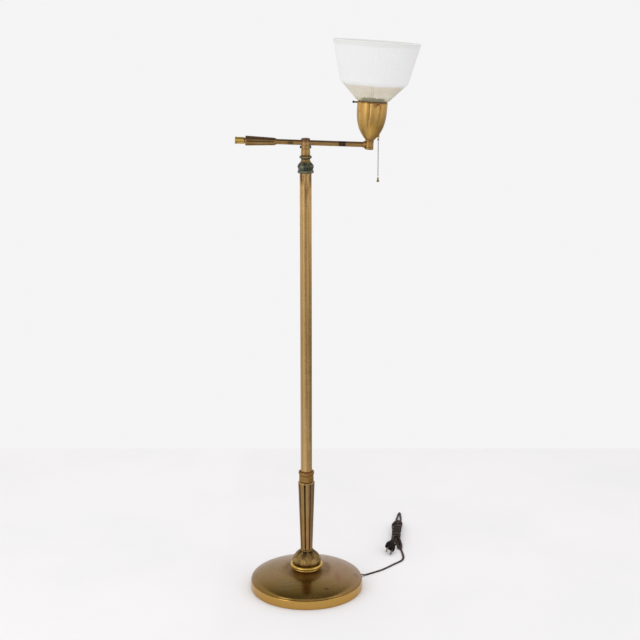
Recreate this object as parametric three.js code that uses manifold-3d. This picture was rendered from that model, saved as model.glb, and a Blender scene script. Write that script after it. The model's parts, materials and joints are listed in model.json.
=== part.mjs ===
// A pharmacy floor lamp: a weighted spun base, a reeded column, a round post and a swinging arm
// that carries a tulip cup with a flared glass bowl. Millimetres, +Z up, the origin at the centre
// of the felt on the floor, the arm along X with the glass on the +X side.
import * as THREE from "three";
import { mergeVertices } from "three/addons/utils/BufferGeometryUtils.js";
import Module from "manifold-3d";

const wasm = await Module();
wasm.setup();

const { PI, cos, sin, sqrt, atan2 } = Math;
const DEGREE = PI / 180;

// Clearances
const SEAT_GAP = 0.3; // between a piece and the one it rests on or sits in
const THREAD_GAP = 0.3; // radial, between a threaded pipe and its bore

// Faceting
const BROAD_STEPS = 36;
const ROUND_STEPS = 24;
const SMALL_STEPS = 20;
const TINY_STEPS = 12;

// Base
const BASE_RADIUS = 127;
const BAND_HEIGHT = 20.3;
const BAND_ROLL = 0.9;
const DOME_RISE = 24.6;
const DOME_STEPS = 7;
const SHELL_WALL = 1.2;
const FELT_THICKNESS = 1.6;
const FELT_MARGIN = 4.5;
const WEIGHT_RIM = 10;
const WEIGHT_BOSS_RADIUS = 34;
const WEIGHT_RECESS_RADIUS = 18;
const CORD_CHANNEL = 9;

// Cord outlet in the base's band
const CORD_OUTLET_ANGLE = 21.9 * DEGREE; // behind +X
const CORD_OUTLET_HEIGHT = 6.5;
const BUSHING_RADIUS = 3.7;
const BUSHING_FLANGE = 4.9;
const BUSHING_FLANGE_DEPTH = 2;
const BUSHING_BARREL = 6;

// Ring, bell, reeded column and its collar
const RING_RADIUS = 36.9;
const RING_HEIGHT = 12.8;
const BELL_RADIUS = 33.2;
const BELL_HEIGHT = 46.5;
const COLUMN_HEIGHT = 162;
const COLUMN_FOOT_RADIUS = 13.35;
const COLUMN_HEAD_RADIUS = 18.5;
const CASTING_WALL = 4.5;
const CASTING_SEAT = 5; // thickness of the end that seats on the pipe
const REED_COUNT = 8;
const REED_STEPS = 4;
const COLUMN_REED_DEPTH = 2.2;
const COLUMN_REED_TURN = -12 * DEGREE;
const COLLAR_HEIGHT = 24;
const COLLAR_FLOOR = 7.4;

// Post and the threaded pipe through it
const TUBE_RADIUS = 12.7;
const TUBE_WALL = 1.2;
const TUBE_LENGTH = 684;
const PIPE_RADIUS = 4.8;
const PIPE_BORE = 3.3;
const WIRE_RADIUS = 2;
const NUT_RADIUS = 9;
const NUT_HEIGHT = 4.5;
const WASHER_RADIUS = 12;
const WASHER_THICKNESS = 1.3;

// Cap of the post and the swivel above it
const CAP_HEIGHT = 37.4;
const CAP_SPIGOT = 10.6;
const CAP_NECK_RADIUS = 9.8;
const SLEEVE_HEIGHT = 13.7;
const SLEEVE_FLOOR = 7.5;
const SLEEVE_BORE = 8.2;
const TEE_RADIUS = 9.5;
const TEE_HEIGHT = 23;
const TEE_AXIS_HEIGHT = 12.9; // arm's axis above the tee's lower face
const CROSS_SCREW_HEIGHT = 3.5;
const CROSS_SCREW_HEAD = 3.2;
const CROSS_SCREW_SHANK = 1.3;

// Arm
const ARM_DROOP = 1.92 * DEGREE; // the +X end is lower
const ARM_REACH = 134.9; // swivel axis to the elbow's axis, along the arm
const ARM_RADIUS = 5.6;
const ARM_WALL = 1.1;
const ARM_SOCKET_START = 3.5; // where a tube starts in the tee, from the swivel axis
const REAR_LENGTH = 149.6; // swivel axis to the end of the knob
const KNOB_LENGTH = 20.4;
const KNOB_RADIUS = 7.3;
const NECK_LENGTH = 1.6; // bare tube between the knob and the grip
const GRIP_LENGTH = 65.5;
const GRIP_OUTER_RADIUS = 10.6;
const GRIP_INNER_RADIUS = 8;
const GRIP_REED_DEPTH = 1.4;
const GRIP_CHAMFER = 4;

// Elbow and head
const HEAD_LEAN = 3.9 * DEGREE; // the top leans towards +X
const ELBOW_RADIUS = 9.3;
const ELBOW_BELOW = 10.3;
const ELBOW_ABOVE = 10.3;
const BOSS_RADIUS = 7.8;
const BOSS_LENGTH = 14;
const NIPPLE_LENGTH = 22;

// Tulip cup
const CUP_HEIGHT = 79.7;
const CUP_FOOT_RADIUS = 9.6;
const CUP_RIM_RADIUS = 32;
const CUP_BULGE = 3.4; // exponent of the outline
const CUP_WALL = 1;
const CUP_FLOOR = 1.6;
const CUP_STEPS = 8;
const LOBE_COUNT = 8;
const LOBE_STEPS = 4;
const LOBE_DEPTH = 1.9;
const LOBE_TURN = -13 * DEGREE;

// Glass bowl, heights from the elbow's centre
const NECK_CLEARANCE = 4.2; // from the cup's rim in to the neck
const NECK_LIP = 0.9;
const NECK_DEPTH = 11.3; // of the neck below the cup's rim
const GLASS_WALL = 2.9;
const CONE_OVERHANG = 2.2; // of the cone's foot outside the cup's rim
const CONE_HEAD_RADIUS = 65.5;
const CONE_HEIGHT = 32.5;
const SHOULDER_RADIUS = 72.6;
const SHOULDER_HEIGHT = 9.9;
const GLASS_RIM_RADIUS = 92.2;
const WALL_HEIGHT = 80.5;

// Thumbscrews
const SCREW_SHANK_RADIUS = 1.4;
const SCREW_HEAD_RADIUS = 2.5;
const SCREW_HEAD_LENGTH = 4;
const SCREW_REACH = 10.5; // outside the cup
const SCREW_BELOW_RIM = 3.3;
const SCREW_ANGLES = { left: -98 * DEGREE, front: 22 * DEGREE, rear: 142 * DEGREE };

// Lamp socket and bulb, heights from the elbow's centre
const SOCKET_CAP_START = 17.5;
const SOCKET_CAP_HEIGHT = 20.5;
const SOCKET_RADIUS = 17.2;
const SOCKET_WAIST = 2; // how much narrower the socket cap is below its top
const SOCKET_WAIST_TOP = 13.5; // above the socket cap's foot
const SOCKET_LENGTH = 36;
const SOCKET_WALL = 0.7;
const LINER_WALL = 0.8;
const SCREW_SHELL_RADIUS = 14.6;
const SCREW_SHELL_WALL = 0.5;
const BULB_CAP_RADIUS = 13.2;
const BULB_CAP_HEIGHT = 26;
const BULB_RADIUS = 29.8;
const BULB_LENGTH = 82.7;

// Pull chain, heights from the point where it leaves the cup
const CHAIN_CLEARANCE = 1.05; // of the chain's axis outside the cup at its exit
const LINK_RADIUS = 0.9;
const CHAIN_GUIDE_RADIUS = 2.6;
const CHAIN_GUIDE_BORE = 1.5;
const CHAIN_RADIUS = 1.2;
const CHAIN_END = -86.5;
const CHAIN_BELL_HEIGHT = 9.7;
const CHAIN_BELL_RADIUS = 2.9;

// Free end of the cord: a flat twin cord that lies on the floor, a folded hank and a plug
const CORD_HALF_WIDTH = 2.65;
const CORD_HALF_THICKNESS = 1.4;
const CORD_POINTS = [
  [120.3, 48.3, 6.5],
  [123.6, 49.7, 6.2],
  [129.0, 52.6, 4.0],
  [134.5, 56.0, 2.1],
  [141.3, 60.5, 1.6],
  [154.3, 69.5, 1.6],
  [165.0, 77.0, 1.6],
  [176.0, 85.5, 1.6],
  [187.5, 97.0, 1.6],
  [198.0, 108.6, 1.6],
  [208.0, 119.8, 1.6],
  [216.5, 128.8, 1.6],
  [224.0, 137.2, 1.6],
  [229.0, 147.0, 1.6],
  [231.2, 160.0, 1.6],
  [230.6, 178.0, 1.6],
  [229.4, 194.0, 1.6],
  [228.4, 205.2, 1.6],
];
const HANK_START = [215.2, 232];
const HANK_TURN = -6.2 * DEGREE; // the hank's length runs along +Y, turned to the right
const HANK_LENGTH = 217;
const HANK_HEIGHT = 20;
const HANK_TIP_RADIUS = 8;
const HANK_WAIST = 11;
const HANK_WRAP = 15.5;
const HANK_LOBE_AT = 15;
const HANK_LOBE_RADIUS = 5;
const HANK_LOBE_REACH = 20.2;
const PLUG_FACE = [199.5, 186, 12.2];
const PLUG_TURN = -14.5 * DEGREE;
const PLUG_ROLL = 38 * DEGREE;
const PLUG_PITCH = 20 * DEGREE; // its blades point down to the floor
const PLUG_LENGTH = 27;
const PLUG_WIDTH = 25;
const PLUG_THICKNESS = 11;
const BLADE_LENGTH = 16;
const BLADE_WIDTH = 6.3;
const BLADE_THICKNESS = 1.5;
const BLADE_SPACING = 12.7;

// Heights of the stack, each from the piece below it
const DOME_START = BAND_HEIGHT + 0.2;
const DOME_TOP = DOME_START + DOME_RISE;
const BELL_START = DOME_TOP + SEAT_GAP;
const BELL_TOP = BELL_START + BELL_HEIGHT;
const COLUMN_START = BELL_TOP + SEAT_GAP;
const COLUMN_TOP = COLUMN_START + COLUMN_HEIGHT;
const COLLAR_START = COLUMN_TOP + SEAT_GAP;
const TUBE_START = COLLAR_START + COLLAR_FLOOR + SEAT_GAP;
const TUBE_TOP = TUBE_START + TUBE_LENGTH;
const CAP_START = TUBE_TOP + SEAT_GAP;
const CAP_TOP = CAP_START + CAP_HEIGHT;
const SLEEVE_START = CAP_TOP + SEAT_GAP;
const SLEEVE_TOP = SLEEVE_START + SLEEVE_HEIGHT;
const TEE_START = SLEEVE_TOP + SEAT_GAP;
const ARM_HEIGHT = TEE_START + TEE_AXIS_HEIGHT;
const WEIGHT_START = FELT_THICKNESS + SEAT_GAP;
const PIPE_START = WEIGHT_START + 0.6;
const NUT_START = PIPE_START + 0.4;
const WASHER_START = NUT_START + NUT_HEIGHT + SEAT_GAP;
const RECESS_TOP = WASHER_START + WASHER_THICKNESS + SEAT_GAP;
const PIPE_TOP = CAP_START + CAP_HEIGHT / 2;
const BORE = PIPE_RADIUS + THREAD_GAP;

// Radii and heights in the head, from the elbow's centre
const NECK_RADIUS = CUP_RIM_RADIUS - NECK_CLEARANCE;
const CONE_FOOT_RADIUS = CUP_RIM_RADIUS + CONE_OVERHANG;
const CUP_START = ELBOW_ABOVE + SEAT_GAP;
const CUP_TOP = CUP_START + CUP_HEIGHT;
const SCREW_HEIGHT = CUP_TOP - SCREW_BELOW_RIM;
const NECK_START = CUP_TOP - NECK_DEPTH;
const CONE_START = CUP_TOP + 2;
const CONE_TOP = CONE_START + CONE_HEIGHT;
const SHOULDER_TOP = CONE_TOP + SHOULDER_HEIGHT;
const GLASS_TOP = SHOULDER_TOP + WALL_HEIGHT;
// The pull link passes the socket cap's waist, and leaves the cup where the cup is that wide.
const CHAIN_OUT = SOCKET_RADIUS - SOCKET_WAIST + LINK_RADIUS + 1.55;
const CHAIN_EXIT_HEIGHT = CUP_START + cupHeight(CHAIN_OUT - CHAIN_CLEARANCE);
const LINK_TOP = SOCKET_CAP_START + SOCKET_WAIST_TOP - 0.5 - CHAIN_EXIT_HEIGHT;
const SOCKET_START = SOCKET_CAP_START + SOCKET_CAP_HEIGHT + SEAT_GAP;
const BULB_CAP_START = SOCKET_START + 17.7;
const BULB_START = BULB_CAP_START + BULB_CAP_HEIGHT + SEAT_GAP;

const FINISHES = {
  postBrass: { color: 0xa8854f, roughness: 0.34, metalness: 1 },
  baseBrass: { color: 0x8a7048, roughness: 0.3, metalness: 1 },
  brightBrass: { color: 0xc09a3e, roughness: 0.25, metalness: 1 },
  cupBrass: { color: 0xbe9243, roughness: 0.32, metalness: 1 },
  armBrass: { color: 0x9c7a48, roughness: 0.36, metalness: 1 },
  darkBronze: { color: 0x6e552e, roughness: 0.48, metalness: 1 },
  verdigris: { color: 0x5f6450, roughness: 0.55, metalness: 0.7 },
  steel: { color: 0x9a9a98, roughness: 0.4, metalness: 1 },
  blackSteel: { color: 0x1c1a19, roughness: 0.5, metalness: 0.8 },
  copper: { color: 0xa5623f, roughness: 0.35, metalness: 1 },
  castIron: { color: 0x3a3836, roughness: 0.8, metalness: 0.6 },
  felt: { color: 0x2d4030, roughness: 1, metalness: 0 },
  opalGlass: { color: 0xf1efe8, roughness: 0.2, metalness: 0 },
  porcelain: { color: 0xe6e0d2, roughness: 0.35, metalness: 0 },
  fibre: { color: 0x8f7a55, roughness: 0.9, metalness: 0 },
  cordBrown: { color: 0x4b3c37, roughness: 0.6, metalness: 0 },
  plugBlack: { color: 0x1c1412, roughness: 0.45, metalness: 0 },
};

const UP = new THREE.Vector3(0, 0, 1);

// Shape helpers ---------------------------------------------------------------------------------

// A turned piece about +Z. The outline is [radius, height] points that go up the outside; it
// starts and ends on the axis, or is closed by ring().
function turn(outline, steps = ROUND_STEPS) {
  const points = outline.map(([radius, height]) => new THREE.Vector2(radius, height));
  return new THREE.LatheGeometry(points, steps).rotateX(PI / 2);
}

// The same outline closed on itself, for a piece with a hole along its axis.
function ring(outline, steps = ROUND_STEPS) {
  return turn([...outline, outline[0]], steps);
}

// A plain tube or washer.
function tube(outer, inner, bottom, top, steps = SMALL_STEPS) {
  return ring(
    [
      [inner, bottom],
      [outer, bottom],
      [outer, top],
      [inner, top],
    ],
    steps,
  );
}

// A plain solid cylinder along +Z.
function bar(radius, bottom, top, steps = SMALL_STEPS) {
  return turn(
    [
      [0, bottom],
      [radius, bottom],
      [radius, top],
      [0, top],
    ],
    steps,
  );
}

// Turns a piece that was made along +Z so that it runs along a direction, from a start point.
function aim(geometry, direction, start = new THREE.Vector3()) {
  const turned = new THREE.Quaternion().setFromUnitVectors(UP, direction.clone().normalize());
  return geometry.applyQuaternion(turned).translate(start.x, start.y, start.z);
}

// Direction in the XY plane at an angle from -Y, positive towards +X.
function outward(angle) {
  return new THREE.Vector3(sin(angle), -cos(angle), 0);
}

// Presses grooves into a turned piece. Grooves start at the outline's seam; depthAt gives the
// depth from a point's radius and height, and sharpness narrows the grooves.
function press(geometry, count, sharpness, depthAt) {
  const place = geometry.attributes.position;
  for (let i = 0; i < place.count; i += 1) {
    const x = place.getX(i);
    const y = place.getY(i);
    const radius = sqrt(x * x + y * y);
    const depth = depthAt(radius, place.getZ(i));
    if (depth <= 0) continue;
    const across = Math.abs(sin((atan2(x, -y) * count) / 2));
    const scale = (radius - depth * (1 - across) ** sharpness) / radius;
    place.setXY(i, x * scale, y * scale);
  }
  return geometry;
}

function solidOf(geometry) {
  const bare = geometry.clone();
  bare.deleteAttribute("normal");
  bare.deleteAttribute("uv");
  const merged = mergeVertices(bare, 1e-4);
  return new wasm.Manifold(
    new wasm.Mesh({
      numProp: 3,
      vertProperties: merged.attributes.position.array,
      triVerts: new Uint32Array(merged.index.array),
    }),
  );
}

function geometryOf(solid) {
  const mesh = solid.getMesh();
  const geometry = new THREE.BufferGeometry();
  geometry.setAttribute("position", new THREE.BufferAttribute(mesh.vertProperties, 3));
  geometry.setIndex(new THREE.BufferAttribute(mesh.triVerts, 1));
  return geometry;
}

function cut(geometry, ...tools) {
  return geometryOf(tools.reduce((rest, tool) => rest.subtract(solidOf(tool)), solidOf(geometry)));
}

function join(geometry, ...others) {
  return geometryOf(others.reduce((whole, other) => whole.add(solidOf(other)), solidOf(geometry)));
}

// Adds one named piece to a group.
function add(group, name, geometry, finish) {
  const mesh = new THREE.Mesh(geometry, new THREE.MeshStandardMaterial(FINISHES[finish]));
  mesh.name = name;
  group.add(mesh);
}

// Base ------------------------------------------------------------------------------------------

// Height of the dome's outer face at a radius.
function domeHeight(radius) {
  const share = radius / (BASE_RADIUS - 1);
  return DOME_START + DOME_RISE * sqrt(1 - share * share);
}

// The dome as part of an ellipse, from its edge to the pipe's bore.
function domeArc(edgeRadius, rise) {
  const points = [];
  for (let i = 0; i <= DOME_STEPS; i += 1) {
    const angle = (i / DOME_STEPS) * Math.acos(BORE / edgeRadius);
    points.push([edgeRadius * cos(angle), DOME_START + rise * sin(angle)]);
  }
  return points;
}

function cordHole(radius, innerEnd, outerEnd) {
  const along = new THREE.Vector3(cos(CORD_OUTLET_ANGLE), sin(CORD_OUTLET_ANGLE), 0);
  const start = new THREE.Vector3(0, 0, CORD_OUTLET_HEIGHT);
  return aim(bar(radius, innerEnd, outerEnd, TINY_STEPS), along, start);
}

function baseShell() {
  const edge = BASE_RADIUS - 1;
  const outer = [
    [BASE_RADIUS - SHELL_WALL, 0.5],
    [BASE_RADIUS - BAND_ROLL, 0.5],
    [BASE_RADIUS, 0.5 + 2 * BAND_ROLL],
    [BASE_RADIUS, BAND_HEIGHT - BAND_ROLL],
    [BASE_RADIUS - BAND_ROLL, BAND_HEIGHT - 0.3],
  ];
  const inner = domeArc(edge - SHELL_WALL, DOME_RISE - SHELL_WALL).reverse();
  const shell = ring([...outer, ...domeArc(edge, DOME_RISE), ...inner], BROAD_STEPS);
  return cut(shell, cordHole(BUSHING_RADIUS + SEAT_GAP, BASE_RADIUS - 8, BASE_RADIUS + 4));
}

function baseWeight() {
  const edge = BASE_RADIUS - SHELL_WALL - 2;
  const bossTop = domeHeight(WEIGHT_BOSS_RADIUS) - SHELL_WALL - 1;
  const disc = ring([
    [BORE, RECESS_TOP],
    [WEIGHT_RECESS_RADIUS, RECESS_TOP],
    [WEIGHT_RECESS_RADIUS, WEIGHT_START],
    [edge, WEIGHT_START],
    [edge, WEIGHT_START + WEIGHT_RIM],
    [WEIGHT_BOSS_RADIUS * 2, WEIGHT_START + WEIGHT_RIM + 6],
    [WEIGHT_BOSS_RADIUS, bossTop],
    [BORE, bossTop],
  ]);
  const channel = new THREE.BoxGeometry(BASE_RADIUS, CORD_CHANNEL, CORD_CHANNEL)
    .translate(BASE_RADIUS / 2 + WEIGHT_RECESS_RADIUS / 2, 0, CORD_OUTLET_HEIGHT)
    .rotateZ(CORD_OUTLET_ANGLE);
  return cut(disc, channel);
}

function cordBushing() {
  const barrelStart = BASE_RADIUS - BUSHING_BARREL;
  const flangeStart = BASE_RADIUS + SEAT_GAP;
  const flangeEnd = flangeStart + BUSHING_FLANGE_DEPTH;
  const bore = BUSHING_RADIUS - 0.6;
  const shape = ring(
    [
      [bore, barrelStart],
      [BUSHING_RADIUS, barrelStart],
      [BUSHING_RADIUS, flangeStart],
      [BUSHING_FLANGE, flangeStart],
      [BUSHING_FLANGE - 0.8, flangeEnd],
      [bore, flangeEnd],
    ],
    TINY_STEPS + 4,
  );
  const along = new THREE.Vector3(cos(CORD_OUTLET_ANGLE), sin(CORD_OUTLET_ANGLE), 0);
  return aim(shape, along, new THREE.Vector3(0, 0, CORD_OUTLET_HEIGHT));
}

function hexNut(radius, bottom, top) {
  return cut(bar(radius, bottom, top, 6), bar(BORE, bottom - 1, top + 1));
}

function baseRing() {
  const r = RING_RADIUS;
  const low = domeHeight(r - 4) + SEAT_GAP;
  const high = low + RING_HEIGHT;
  return ring([
    [r - 4.2, low],
    [r - 1, low],
    [r, low + 2.6],
    [r, low + 5.4],
    [r - 1.3, low + 7.6],
    [r - 1.6, low + 8.6],
    [r - 0.9, low + 10.2],
    [r - 0.8, high - 1.1],
    [r - 1.7, high],
    [r - 3.3, high],
    [r - 4.2, high - 1.6],
  ]);
}

function acanthusBell() {
  const low = BELL_START;
  const high = BELL_TOP;
  const r = BELL_RADIUS;
  return ring([
    [r - 8, low],
    [r - 8, low + 4.5],
    [r - 6.6, low + 8.3],
    [r - 3.3, low + 13.2],
    [r, low + 18],
    [r - 0.3, low + 22.6],
    [r - 2.9, low + 27.6],
    [r - 5.7, low + 32.6],
    [r - 9.7, low + 37.5],
    [COLUMN_FOOT_RADIUS + 2.3, high - 4.2],
    [COLUMN_FOOT_RADIUS + 0.2, high],
    [BORE, high],
    [BORE, high - CASTING_SEAT],
    [COLUMN_FOOT_RADIUS - CASTING_WALL, high - CASTING_SEAT - 2],
    [r - 7 - CASTING_WALL, low + 33],
    [r - CASTING_WALL, low + 21],
    [r - 5 - CASTING_WALL, low + 12],
    [r - 8 - CASTING_WALL, low],
  ]);
}

function reededColumn() {
  const shape = ring(
    [
      [BORE, COLUMN_START],
      [COLUMN_FOOT_RADIUS, COLUMN_START],
      [COLUMN_HEAD_RADIUS, COLUMN_TOP - 3],
      [COLUMN_HEAD_RADIUS - 1.2, COLUMN_TOP],
      [BORE, COLUMN_TOP],
      [BORE, COLUMN_TOP - CASTING_SEAT],
      [COLUMN_HEAD_RADIUS - CASTING_WALL, COLUMN_TOP - CASTING_SEAT],
      [COLUMN_FOOT_RADIUS - CASTING_WALL, COLUMN_START + CASTING_SEAT],
      [BORE, COLUMN_START + CASTING_SEAT],
    ],
    REED_COUNT * REED_STEPS,
  );
  const depthAt = (radius) => (radius > BORE + 1 ? COLUMN_REED_DEPTH : 0);
  return press(shape, REED_COUNT, 3, depthAt).rotateZ(COLUMN_REED_TURN);
}

function columnCollar() {
  const low = COLLAR_START;
  const high = COLLAR_START + COLLAR_HEIGHT;
  const band = TUBE_RADIUS + 3.6;
  const lip = TUBE_RADIUS + 4.8;
  const seat = TUBE_RADIUS + SEAT_GAP;
  return ring([
    [BORE, low],
    [band - 0.4, low],
    [band, low + 1.3],
    [band, low + 12.8],
    [band - 0.7, low + 13.6],
    [band - 0.7, low + 14.4],
    [lip - 0.3, low + 15.6],
    [lip, low + 19],
    [lip - 0.3, high - 1.4],
    [lip - 1.4, high],
    [seat, high - 3.4],
    [seat, low + COLLAR_FLOOR],
    [BORE, low + COLLAR_FLOOR],
  ]);
}

// Top of the post -------------------------------------------------------------------------------

function topCap() {
  const low = CAP_START;
  const r = TUBE_RADIUS;
  const neck = CAP_NECK_RADIUS;
  const spigot = TUBE_RADIUS - TUBE_WALL - SEAT_GAP;
  return ring([
    [BORE, low - CAP_SPIGOT],
    [spigot, low - CAP_SPIGOT],
    [spigot, low],
    [r + 2.9, low],
    [r + 3.9, low + 2.6],
    [r + 3.9, low + 5],
    [r + 2.9, low + 7.6],
    [r + 3.1, low + 9.4],
    [r + 4.5, low + 12.4],
    [r + 4.6, low + 15],
    [r + 3.3, low + 17.8],
    [r + 1.5, low + 20.6],
    [neck + 1.7, low + 23.1],
    [neck + 0.3, low + 25.8],
    [neck, low + 29],
    [neck + 1.7, low + 31.8],
    [neck + 3.5, low + 33.8],
    [neck + 3.1, low + 36.2],
    [neck + 1.4, low + CAP_HEIGHT],
    [BORE, low + CAP_HEIGHT],
  ]);
}

function swivelSleeve() {
  return ring([
    [BORE, SLEEVE_START],
    [CAP_NECK_RADIUS, SLEEVE_START],
    [CAP_NECK_RADIUS, SLEEVE_TOP],
    [SLEEVE_BORE, SLEEVE_TOP],
    [SLEEVE_BORE, SLEEVE_START + SLEEVE_FLOOR],
    [BORE, SLEEVE_START + SLEEVE_FLOOR],
  ]);
}

// The tee is hollow from below, bored for both arm tubes and for the two cross screws.
function teeBody() {
  const top = TEE_START + TEE_HEIGHT;
  const body = turn([
    [0, TEE_START],
    [TEE_RADIUS, TEE_START],
    [TEE_RADIUS, top - 3.4],
    [TEE_RADIUS - 1.3, top - 1.2],
    [TEE_RADIUS - 4.2, top - 0.2],
    [0, top],
  ]);
  const cavity = bar(SLEEVE_BORE - 0.9, TEE_START - 1, TEE_START + 6);
  const wireWay = bar(PIPE_BORE, TEE_START, ARM_HEIGHT);
  const axis = new THREE.Vector3(0, 0, ARM_HEIGHT);
  const along = new THREE.Vector3(cos(ARM_DROOP), 0, -sin(ARM_DROOP));
  const back = along.clone().negate();
  const tubeBore = () => bar(ARM_RADIUS + SEAT_GAP, ARM_SOCKET_START - SEAT_GAP, TEE_RADIUS + 5);
  const armWire = aim(bar(PIPE_BORE, 0, TEE_RADIUS), along, axis);
  const screwHole = bar(CROSS_SCREW_SHANK + SEAT_GAP, -TEE_RADIUS - 5, TEE_RADIUS + 5, TINY_STEPS);
  const screwAxis = new THREE.Vector3(0, 0, TEE_START + CROSS_SCREW_HEIGHT);
  return cut(
    body,
    cavity,
    wireWay,
    aim(tubeBore(), along, axis),
    aim(tubeBore(), back, axis),
    armWire,
    aim(screwHole, new THREE.Vector3(1, 0, 0), screwAxis),
  );
}

// One of the two screws through the tee's skirt, with its head outside; side is 1 or -1.
function crossScrew(side) {
  const shape = turn(
    [
      [0, SLEEVE_BORE - 0.6],
      [CROSS_SCREW_SHANK, SLEEVE_BORE - 0.6],
      [CROSS_SCREW_SHANK, TEE_RADIUS + SEAT_GAP],
      [CROSS_SCREW_HEAD, TEE_RADIUS + SEAT_GAP],
      [CROSS_SCREW_HEAD - 0.3, TEE_RADIUS + 1.8],
      [CROSS_SCREW_HEAD - 1.4, TEE_RADIUS + 2.5],
      [0, TEE_RADIUS + 2.6],
    ],
    TINY_STEPS,
  );
  const height = TEE_START + CROSS_SCREW_HEIGHT;
  return aim(shape, new THREE.Vector3(side, 0, 0), new THREE.Vector3(0, 0, height));
}

// Arm, in a frame whose +X runs along the arm from the swivel axis ------------------------------

const ALONG_ARM = new THREE.Vector3(1, 0, 0);
const REAR_OF_ARM = new THREE.Vector3(-1, 0, 0);

function armTube(start, end, direction) {
  return aim(tube(ARM_RADIUS, ARM_RADIUS - ARM_WALL, start, end), direction);
}

function handleGrip() {
  const end = REAR_LENGTH - KNOB_LENGTH - NECK_LENGTH;
  const start = end - GRIP_LENGTH;
  const bore = ARM_RADIUS + SEAT_GAP;
  const shape = ring(
    [
      [bore, start],
      [bore + 0.5, start],
      [GRIP_INNER_RADIUS, start + GRIP_CHAMFER],
      [GRIP_OUTER_RADIUS, end - 2],
      [GRIP_OUTER_RADIUS - 1.6, end],
      [bore, end],
    ],
    REED_COUNT * REED_STEPS,
  );
  const share = (radius) => (radius - bore - 1) / (GRIP_OUTER_RADIUS - bore - 1);
  const depthAt = (radius) => (radius > bore + 1 ? GRIP_REED_DEPTH * (0.4 + 0.6 * share(radius)) : 0);
  return aim(press(shape, REED_COUNT, 2, depthAt), REAR_OF_ARM);
}

function endKnob() {
  const start = REAR_LENGTH - KNOB_LENGTH;
  const end = REAR_LENGTH;
  const bore = ARM_RADIUS + SEAT_GAP;
  const shape = turn([
    [0, end - 4],
    [bore, end - 4],
    [bore, start],
    [KNOB_RADIUS - 0.4, start],
    [KNOB_RADIUS, start + 0.8],
    [KNOB_RADIUS, end - 4.6],
    [KNOB_RADIUS + 0.5, end - 3.8],
    [KNOB_RADIUS + 0.5, end - 0.8],
    [KNOB_RADIUS - 0.3, end],
    [0, end],
  ]);
  return aim(shape, REAR_OF_ARM);
}

// Head, in a frame whose +Z runs up the cup from the elbow's centre -----------------------------

function elbow() {
  const post = turn([
    [0, -ELBOW_BELOW],
    [ELBOW_RADIUS - 1.2, -ELBOW_BELOW],
    [ELBOW_RADIUS, 1 - ELBOW_BELOW],
    [ELBOW_RADIUS, ELBOW_ABOVE - 0.7],
    [ELBOW_RADIUS - 0.7, ELBOW_ABOVE],
    [0, ELBOW_ABOVE],
  ]);
  const lean = HEAD_LEAN - ARM_DROOP;
  const towardsArm = new THREE.Vector3(-cos(lean), 0, -sin(lean));
  const boss = turn([
    [0, 0],
    [BOSS_RADIUS, 0],
    [BOSS_RADIUS, ELBOW_RADIUS],
    [ARM_RADIUS + 1.1, ELBOW_RADIUS + 1.6],
    [ARM_RADIUS + 0.7, BOSS_LENGTH],
    [0, BOSS_LENGTH],
  ]);
  const tubeBore = bar(ARM_RADIUS + SEAT_GAP, PIPE_RADIUS + 1, BOSS_LENGTH + 2);
  const wireWay = bar(PIPE_BORE, 0, BOSS_LENGTH);
  const nippleBore = bar(BORE, -0.3, ELBOW_ABOVE + 2);
  return cut(
    join(post, aim(boss, towardsArm)),
    aim(tubeBore, towardsArm),
    aim(wireWay, towardsArm),
    nippleBore,
  );
}

// Radius of the cup's outline at a height above its foot, before the lobes.
function cupRadius(height) {
  const share = Math.min(1, height / CUP_HEIGHT);
  return CUP_FOOT_RADIUS + (CUP_RIM_RADIUS - CUP_FOOT_RADIUS) * (1 - (1 - share) ** CUP_BULGE);
}

// Height above the cup's foot where its outline has a radius.
function cupHeight(radius) {
  const share = (radius - CUP_FOOT_RADIUS) / (CUP_RIM_RADIUS - CUP_FOOT_RADIUS);
  return CUP_HEIGHT * (1 - (1 - share) ** (1 / CUP_BULGE));
}

function cupLobeDepth(radius, height) {
  const share = (height - CUP_START) / CUP_HEIGHT;
  const rise = Math.min(1, Math.max(0, (share - 0.2) / 0.5));
  return LOBE_DEPTH * rise * rise * (3 - 2 * rise);
}

function chainLine(radius, bottom, top) {
  const up = new THREE.Vector3(-sin(HEAD_LEAN), 0, cos(HEAD_LEAN));
  return aim(bar(radius, bottom, top, TINY_STEPS), up, new THREE.Vector3(CHAIN_OUT, 0, CHAIN_EXIT_HEIGHT));
}

function tulipCup() {
  const outer = [];
  const inner = [];
  for (let i = 0; i <= CUP_STEPS; i += 1) {
    const height = CUP_HEIGHT * (i / CUP_STEPS) ** 1.4;
    outer.push([cupRadius(height), CUP_START + height]);
    const insideHeight = Math.max(CUP_FLOOR, height);
    inner.push([cupRadius(insideHeight - CUP_FLOOR / 2) - CUP_WALL, CUP_START + insideHeight]);
  }
  const floor = [
    [BORE, CUP_START + CUP_FLOOR],
    [BORE, CUP_START],
  ];
  const walls = [...outer, ...inner.reverse(), ...floor];
  const cup = press(ring(walls, LOBE_COUNT * LOBE_STEPS), LOBE_COUNT, 2, cupLobeDepth).rotateZ(LOBE_TURN);
  const at = new THREE.Vector3(0, 0, SCREW_HEIGHT);
  const holes = Object.values(SCREW_ANGLES).map((angle) =>
    aim(
      bar(SCREW_SHANK_RADIUS + SEAT_GAP, NECK_RADIUS - 2, CUP_RIM_RADIUS + 4, TINY_STEPS),
      outward(angle),
      at,
    ),
  );
  return cut(cup, ...holes, chainLine(CHAIN_GUIDE_RADIUS + SEAT_GAP, -4, 9));
}

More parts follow.
